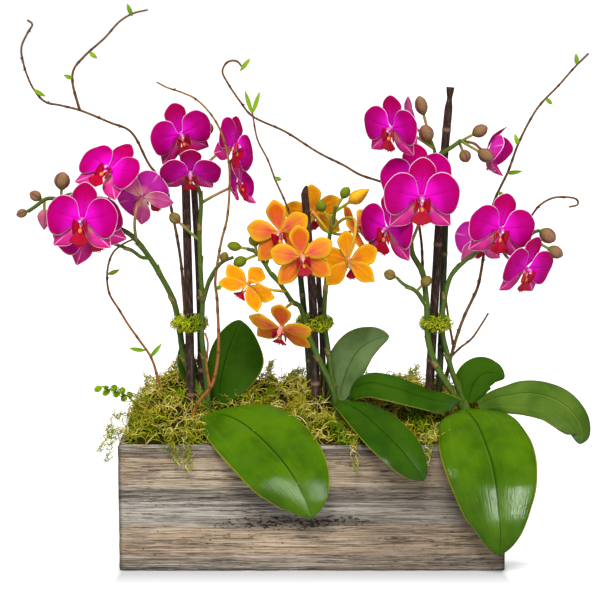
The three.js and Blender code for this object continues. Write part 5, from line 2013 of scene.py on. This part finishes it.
@dataclass
class Flowers:
    """The open blooms."""

    seed: int = 71
    thick: float = 0.7

    def tepal(
        self, form: Form, angle: float, length: float, widths: Sequence[float], lift: float, lean: float,
        arch: float, ruffle: float, lower: float, materials: tuple[int, int], phase: float,
        swept: float = 0,
    ) -> None:
        """Adds a petal or sepal.

        Args:
            form: The bloom.
            angle: Direction from the middle, in degrees from the right.
            length: Length in millimetres.
            widths: Half widths along it, before the disc narrows them.
            lift: Height of its foot over the bloom's middle plane.
            lean: How far it leans forward, in degrees.
            arch: How far its middle stands forward.
            ruffle: Height of the waves at its rim.
            lower: How much wider the half below its midrib is than the upper one.
            materials: Material indices of front and back.
            phase: Where the waves start.
            swept: How far its shoulders reach back towards the middle.
        """
        turned = math.radians(angle)
        forward = Vector((math.cos(turned), math.sin(turned), 0))
        side = Vector((math.sin(turned), -math.cos(turned), 0))
        below = 1 if side.y < 0 else -1
        slope = math.tan(math.radians(lean))

        def place(across: float, along: float, rim: float, face: int) -> Vector:
            """Gives a place on the petal.

            Args:
                across: From -1 to 1.
                along: From -1 to 1.
                rim: Nearness to the outline.
                face: 1 in front, -1 behind.

            Returns:
                The place in millimetres.
            """
            share = (along + 1) / 2
            down = below * math.copysign(1, across)
            width = eased(widths, share) * (1 + lower * down * abs(across))
            back = swept * across * across * math.sin(math.pi * min(1, 1.2 * share)) * (1 - 0.4 * down)
            spot = forward * (1 + (length - 1) * share - back) + side * across * width
            rise = lift + length * share * share * slope + arch * math.sin(math.pi * share)
            rise -= 0.09 * widths[2] * across * across
            waves = math.sin(4 * math.atan2(across, along + 0.3) + phase)
            waves += 0.4 * math.sin(9 * along + phase)
            rise += ruffle * waves * rim ** 3 * min(1.0, 2 * share)
            rise -= 0.7 * bump_at(across, 0, 0.1) * (1 - 0.7 * share)
            body = face * 0.5 * self.thick * (1 - rim ** 4)
            return spot + Vector((0, 0, rise + body))

        form.blade(18, 20, place, materials, disc=True)

    def lip(self, form: Form, kind: Kind, dice: Random) -> None:
        """Adds the lip: a middle lobe with two tendrils, two upright side lobes and a callus.

        Args:
            form: The bloom.
            kind: Its kind.
            dice: The source of chance.
        """
        length, half_width, lobe_width, drop = LIPS[kind]

        def middle(across: float, along: float, rim: float, face: int) -> Vector:
            """Gives a place on the middle lobe.

            Args:
                across: From -1 to 1.
                along: From -1 to 1.
                rim: Nearness to the outline.
                face: 1 in front, -1 behind.

            Returns:
                The place in millimetres.
            """
            share = (along + 1) / 2
            width = half_width * eased(LIP_COURSE, share)
            rise = 2 + 3 * math.sin(2.6 * share) + 0.16 * width * across * across
            rise -= 0.6 * bump_at(across, 0, 0.16)
            body = face * 0.55 * (0.0 if rim > AT_RIM else 1 - 0.7 * abs(across) ** 3)
            swept = 0.9 * across * across * bump_at(share, 0.72, 0.2)
            return Vector((across * width, -1 - (length - 1) * share - swept, rise + body))

        form.blade(12, 26, middle, (LIP, LIP))
        for hand in (-1, 1):
            curl = dice.uniform(0.8, 1.2)
            form.sweep(
                Route([
                    (0.3 * hand, -length + 1, 3.4), (1.3 * hand, -length - 0.6, 4.2 * curl),
                    (3.2 * hand, -length - 0.2, 5.4 * curl), (4.2 * hand, -length + 1.4, 6 * curl),
                ]),
                lambda share: 0.45 * (1 - 0.75 * share), sides=6, step=0.7, material=LIP,
            )

            def lobe(across: float, along: float, rim: float, face: int) -> Vector:
                """Gives a place on a side lobe.

                Args:
                    across: From -1 to 1.
                    along: From -1 to 1.
                    rim: Nearness to the outline.
                    face: 1 in front, -1 behind.

                Returns:
                    The place in millimetres.
                """
                share = (along + 1) / 2
                across *= hand
                width = lobe_width * eased(LOBE_COURSE, share)
                bow = 2.2 * math.sin(math.pi * share) - 1.1 * across * across * share
                outward = 1.8 + 3.8 * share + bow + 0.34 * face * (1 - rim ** 4)
                return Vector((
                    hand * outward,
                    -drop - across * width,
                    2.4 + 5.8 * share - 0.5 * across - 0.3 * face * (1 - rim ** 4),
                ))

            form.blade(10, 10, lobe, (THROAT, LIP), disc=True)
        form.sweep(
            Route([(0, -drop - 1.6, 4), (0, -drop - 3.2, 5), (0, -drop - 5, 5.4)]),
            lambda share: 1.5 * math.sin(math.pi * (0.12 + 0.8 * share)) ** 0.7, sides=12, step=0.5,
            material=CALLUS, lobes=0.25, mark=lambda share: 0.6 * share,
        )

    def bloom(
        self, name: str, kind: Kind, bloom: Bloom, dice: Random, materials: Sequence[Material],
    ) -> None:
        """Makes one open bloom in place of its solid.

        Args:
            name: The piece's name.
            kind: The kind of bloom.
            bloom: Where it is and how it faces.
            dice: The source of chance.
            materials: Its materials in the order of their indices.
        """
        form = Form()
        petal, dorsal, lateral = LENGTHS[kind]
        petal_angle, lateral_angle = ANGLES[kind]
        back = bloom.cup - 5
        self.tepal(
            form, 90 + dice.uniform(-2, 2), dorsal, DORSAL_WIDTHS[kind], lift=-0.9,
            lean=back + dice.uniform(-2, 3), arch=0.6, ruffle=0.4, lower=0,
            materials=(DORSAL, SEPAL_BACK), phase=dice.uniform(0, 6),
        )
        for angle in (lateral_angle, 180 - lateral_angle):
            self.tepal(
                form, angle + dice.uniform(-3, 3), lateral, LATERAL_WIDTHS[kind], lift=-0.9,
                lean=back + dice.uniform(-3, 3), arch=0.8, ruffle=0.4, lower=0,
                materials=(SEPAL, SEPAL_BACK), phase=dice.uniform(0, 6),
            )
        for angle in (petal_angle, 180 - petal_angle):
            self.tepal(
                form, angle + dice.uniform(-2, 2), petal, PETAL_WIDTHS[kind], lift=0.9,
                lean=bloom.cup + dice.uniform(-3, 2), arch=1.8, ruffle=RUFFLES[kind], lower=0.1,
                materials=(PETAL, PETAL_BACK), phase=dice.uniform(0, 6), swept=SHOULDERS[kind],
            )
        self.lip(form, kind, dice)
        form.sweep(
            Route([(0, 0, -self.thick - 2.2), (0, 0.4, 2), (0, -0.2, 5), (0, -2, 7.6)]),
            lambda share: eased(COLUMN_COURSE, share), sides=16, step=0.6, material=COLUMN,
            mark=lambda share: 0.95 * max(0.0, share - 0.86) / 0.14,
        )
        form.sweep(
            Route([(0, -0.5, 0.4), (0, -3.5, 1.4), (0, -8, 2.6)]),
            lambda share: 2.5 * math.sin(math.pi * (0.2 + 0.66 * share)), sides=14, step=0.7,
            material=COLUMN, mark=lambda share: 0.4 + 0.2 * share,
        )
        form.bm.transform(bloom.placing())
        form.piece(name, kind.value, materials, [name.removesuffix("_flower")])

    def build(self) -> None:
        """Makes all the open blooms."""
        pale_rim = (0.95, 0.6, 0.8)
        magenta = [
            PetalFinish("magenta petal", (0.42, 0, 0.185), (0.32, 0, 0.09), (0.75, 0.004, 0.54),
                        (0.2, 0, 0.07), pale_rim, 0.68, 0.36, 0, 0.955, 0.5, 0.98),
            PetalFinish("magenta petal back", (0.6, 0.025, 0.42), (0.5, 0.012, 0.28), (0.8, 0.22, 0.45),
                        (0.36, 0.01, 0.2), pale_rim, 0.36, 0.3, 0.3, 0.94),
            PetalFinish("magenta sepal", (0.58, 0.03, 0.26), (0.46, 0.008, 0.14), (0.72, 0.26, 0.28),
                        (0.4, 0.01, 0.13), pale_rim, 0.46, 0.5, 0.6, 0.93, 0.1),
            PetalFinish("magenta sepal back", (0.62, 0.09, 0.32), (0.52, 0.05, 0.2), (0.8, 0.36, 0.34),
                        (0.4, 0.03, 0.16), pale_rim, 0.4, 0.3, 0.3, 0.94),
            SkinFinish("crimson lip", (0.4, 0, 0.02), (0.48, 0.003, 0.06), (0.2, 0, 0.012), 0.42, 0.4),
            SkinFinish("pink column", (0.5, 0.012, 0.34), (0.95, 0.85, 0.85), (0.42, 0, 0.2), 0.4, 0.15),
            SkinFinish("callus", (0.75, 0.2, 0.03), (0.84, 0.45, 0.1), (0.4, 0, 0.01), 0.4, 0.8),
            SkinFinish("lip throat", (0.34, 0, 0.03), (0.42, 0.004, 0.05), (0.7, 0.17, 0.05), 0.42, 0.7),
            PetalFinish("magenta dorsal", (0.4, 0, 0.1), (0.3, 0, 0.06), (0.64, 0.002, 0.42),
                        (0.2, 0, 0.05), pale_rim, 0.8, 0.4, 0, 0.95, 0.5, 0.98),
        ]
        gold_rim = (0.67, 0.37, 0.012)
        orange = [
            PetalFinish("orange petal", (0.67, 0.21, 0.028), (0.65, 0.17, 0.018), (0.67, 0.075, 0.065),
                        (0.5, 0.05, 0.015), gold_rim, 0.74, 0.22, 0, 0.42, 0.3, 0.98),
            PetalFinish("orange petal back", (0.64, 0.24, 0.004), (0.56, 0.17, 0.003), (0.66, 0.14, 0.03),
                        (0.42, 0.08, 0.003), gold_rim, 0.5, 0.34, 0.1, 0.5, 0.4, 0.98),
            PetalFinish("orange sepal", (0.62, 0.15, 0.018), (0.54, 0.11, 0.014), (0.52, 0.07, 0.03),
                        (0.38, 0.03, 0.008), gold_rim, 0.5, 0.3, 0, 0.5, 0.3, 0.98),
            PetalFinish("orange sepal back", (0.64, 0.24, 0.005), (0.56, 0.17, 0.003), (0.66, 0.17, 0.03),
                        (0.42, 0.09, 0.004), gold_rim, 0.42, 0.3, 0.15, 0.55, 0.4, 0.98),
            SkinFinish("dark crimson lip", (0.4, 0, 0.02), (0.54, 0.01, 0.06), (0.2, 0, 0.01), 0.4, 0.4),
            SkinFinish("golden column", (0.75, 0.2, 0.18), (0.95, 0.8, 0.5), (0.5, 0.08, 0.06), 0.4, 0.2),
            SkinFinish("orange callus", (0.7, 0.28, 0.02), (0.8, 0.45, 0.08), (0.3, 0.02, 0.01), 0.4, 0.8),
            SkinFinish("brown throat", (0.3, 0.015, 0.01), (0.45, 0.08, 0.02), (0.12, 0, 0.004), 0.42, 0.6),
            PetalFinish("orange dorsal", (0.54, 0.1, 0.008), (0.46, 0.07, 0.004), (0.65, 0.09, 0.045),
                        (0.38, 0.025, 0.004), gold_rim, 0.8, 0.3, 0, 0.55, 0.3, 0.99),
        ]
        finishes = {
            Kind.MAGENTA: [finish.material() for finish in magenta],
            Kind.ORANGE: [finish.material() for finish in orange],
        }
        dice = Random(self.seed)
        for plant in PLANTS:
            for number, bloom in enumerate(plant.blooms, 1):
                name = f"{plant.side}_bloom_{number}_flower"
                self.bloom(name, plant.kind, bloom, dice, finishes[plant.kind])


@dataclass
class Studio:
    """The pale floor, the soft light and the camera."""

    floor: float = 0.5
    bounce: float = 0.62
    mirrored: float = 0.12
    sun_strength: float = 3.4
    sky: float = 0.26
    # Outline of the box's foot that the floor's painted shadow follows
    box_half_length: float = 0.148
    box_front: float = 0.05
    lens: float = 113.9
    camera_place: Place = (-0.0095, -1.49902, 0.44621)
    camera_tilt: float = 81.0

    def stand(
        self, name: str, lamp: bpy.types.Light, place: Place, aim: Place = (0, 0, 0.2),
    ) -> bpy.types.Object:
        """Stands a light at a place and turns it to what it aims at.

        Args:
            name: The light's name.
            lamp: What shines.
            place: Where it stands, in metres.
            aim: What it aims at.

        Returns:
            The light as an object.
        """
        thing = bpy.data.objects.new(name, lamp)
        thing.location = place
        way = Vector(aim) - Vector(place)
        thing.rotation_euler = way.to_track_quat("-Z", "Y").to_euler()
        bpy.context.scene.collection.objects.link(thing)
        return thing

    def softbox(self, name: str, place: Place, size: float, power: float) -> None:
        """Adds a soft square light that isn't mirrored in the leaves.

        Args:
            name: Its name.
            place: Where it stands, in metres.
            size: Its side in metres.
            power: Its power in watts.
        """
        lamp = bpy.data.lights.new(name, "AREA")
        lamp.size = size
        lamp.energy = power
        self.stand(name, lamp, place).visible_glossy = False

    def glint(self, name: str, place: Place, aim: Place, size: tuple[float, float], power: float) -> None:
        """Adds a small card of light close to a leaf that only shows as its highlight.

        Args:
            name: Its name.
            place: Where it stands, in metres.
            aim: The place on the leaf that it faces.
            size: Its width and height in metres.
            power: Its power in watts.
        """
        lamp = bpy.data.lights.new(name, "AREA")
        lamp.shape = "RECTANGLE"
        lamp.size, lamp.size_y = size
        lamp.energy = power
        card = self.stand(name, lamp, place, aim)
        card.visible_diffuse = False
        card.visible_camera = False

    def sky_light(self) -> None:
        """Makes a white backdrop whose light on the planter is softer, and dimmer still in reflections."""
        world = bpy.data.worlds.new("studio")
        world.use_nodes = True
        tree = world.node_tree
        paths = tree.nodes.new("ShaderNodeLightPath")
        glossy = tree.nodes.new("ShaderNodeMapRange")
        glossy.inputs[3].default_value = self.sky
        glossy.inputs[4].default_value = self.sky * 0.25
        tree.links.new(paths.outputs["Is Glossy Ray"], glossy.inputs[0])
        seen = tree.nodes.new("ShaderNodeMath")
        seen.operation = "MAXIMUM"
        tree.links.new(paths.outputs["Is Camera Ray"], seen.inputs[0])
        tree.links.new(glossy.outputs[0], seen.inputs[1])
        background = tree.nodes["Background"]
        background.inputs[0].default_value = (1, 1, 1, 1)
        tree.links.new(seen.outputs[0], background.inputs[1])
        bpy.context.scene.world = world

    def floor_paint(self) -> Material:
        """Makes the floor glow white where it is seen, with painted shadow near the box and painted light
        behind it.

        Returns:
            The finished material.
        """
        paint = Paint("pale floor", {"Roughness": 0.9, "Specular IOR Level": 0.0})
        paths = paint.tree.nodes.new("ShaderNodeLightPath")
        seen = paths.outputs["Is Camera Ray"]
        place_x, place_y, _ = paint.split(paint.place())
        aside = paint.line(paint.maths("ABSOLUTE", place_x), 6, -6 * self.box_half_length)
        ahead = paint.line(place_y, -1, -self.box_front)
        away = paint.maths("MAXIMUM", aside, ahead)
        # Painted contact shadow: the glow fades to nothing within 55 mm of the box's front and sides.
        near = paint.span(away, -0.004, 0.055, 0, 0.5)
        # Painted light behind the box's front line, brighter than elsewhere, which washes out the shadows
        # cast there.
        behind = paint.span(place_y, -0.052, -0.015, 0, 0.5)
        glow = paint.maths("MAXIMUM", near, paint.times(behind, 1.6))
        thrown = paint.mix(paths.outputs["Is Glossy Ray"], (self.bounce,) * 3, (self.mirrored,) * 3)
        paint.colour(paint.mix(seen, thrown, (self.floor,) * 3))
        paint.feed(paint.shader.inputs["Emission Color"], (1, 1, 1))
        paint.feed(paint.shader.inputs["Emission Strength"], paint.times(glow, seen))
        return paint.material

    def build(self) -> None:
        """Sets the scene round the planter."""
        bm = bmesh.new()
        bmesh.ops.create_circle(bm, cap_ends=True, segments=96, radius=12)
        made = bpy.data.meshes.new("floor")
        bm.to_mesh(made)
        bm.free()
        made.materials.append(self.floor_paint())
        ground = bpy.data.objects.new("floor", made)
        bpy.context.scene.collection.objects.link(ground)
        self.sky_light()
        bpy.context.scene.view_settings.view_transform = "Standard"
        sun = bpy.data.lights.new("sun", "SUN")
        sun.energy = self.sun_strength
        sun.angle = math.radians(24)
        self.stand("sun", sun, (-0.1, -1.0, 1.5)).visible_glossy = False
        self.softbox("key", (-0.75, -1.05, 1.15), 0.25, 5)
        self.softbox("window", (0.9, -1.1, 0.5), 0.26, 5)
        self.softbox("top", (0.1, 0.55, 1.5), 0.8, 7)
        self.glint("right leaf glint", (0.2, -0.155, 0.042), (0.158, -0.072, 0.055), (0.026, 0.058), 0.12)
        self.glint("left leaf glint", (0.022, -0.171, 0.082), (0.005, -0.071, 0.074), (0.009, 0.06), 0.09)
        lens = bpy.data.cameras.new("camera")
        lens.lens = self.lens
        lens.sensor_width = 36
        camera = bpy.data.objects.new("camera", lens)
        camera.location = self.camera_place
        camera.rotation_euler = (math.radians(self.camera_tilt), 0, 0)
        bpy.context.scene.collection.objects.link(camera)
        bpy.context.scene.camera = camera


def main() -> None:
    """Builds the studio and the pieces in order."""
    logging.basicConfig(level=logging.INFO, format="%(message)s")
    Studio().build()
    for part in (WoodBox(), MossBed(), TieMoss(), Canes(), Willow(), Foliage(), Stems(), Flowers()):
        part.build()


if __name__ == "__main__":
    main()
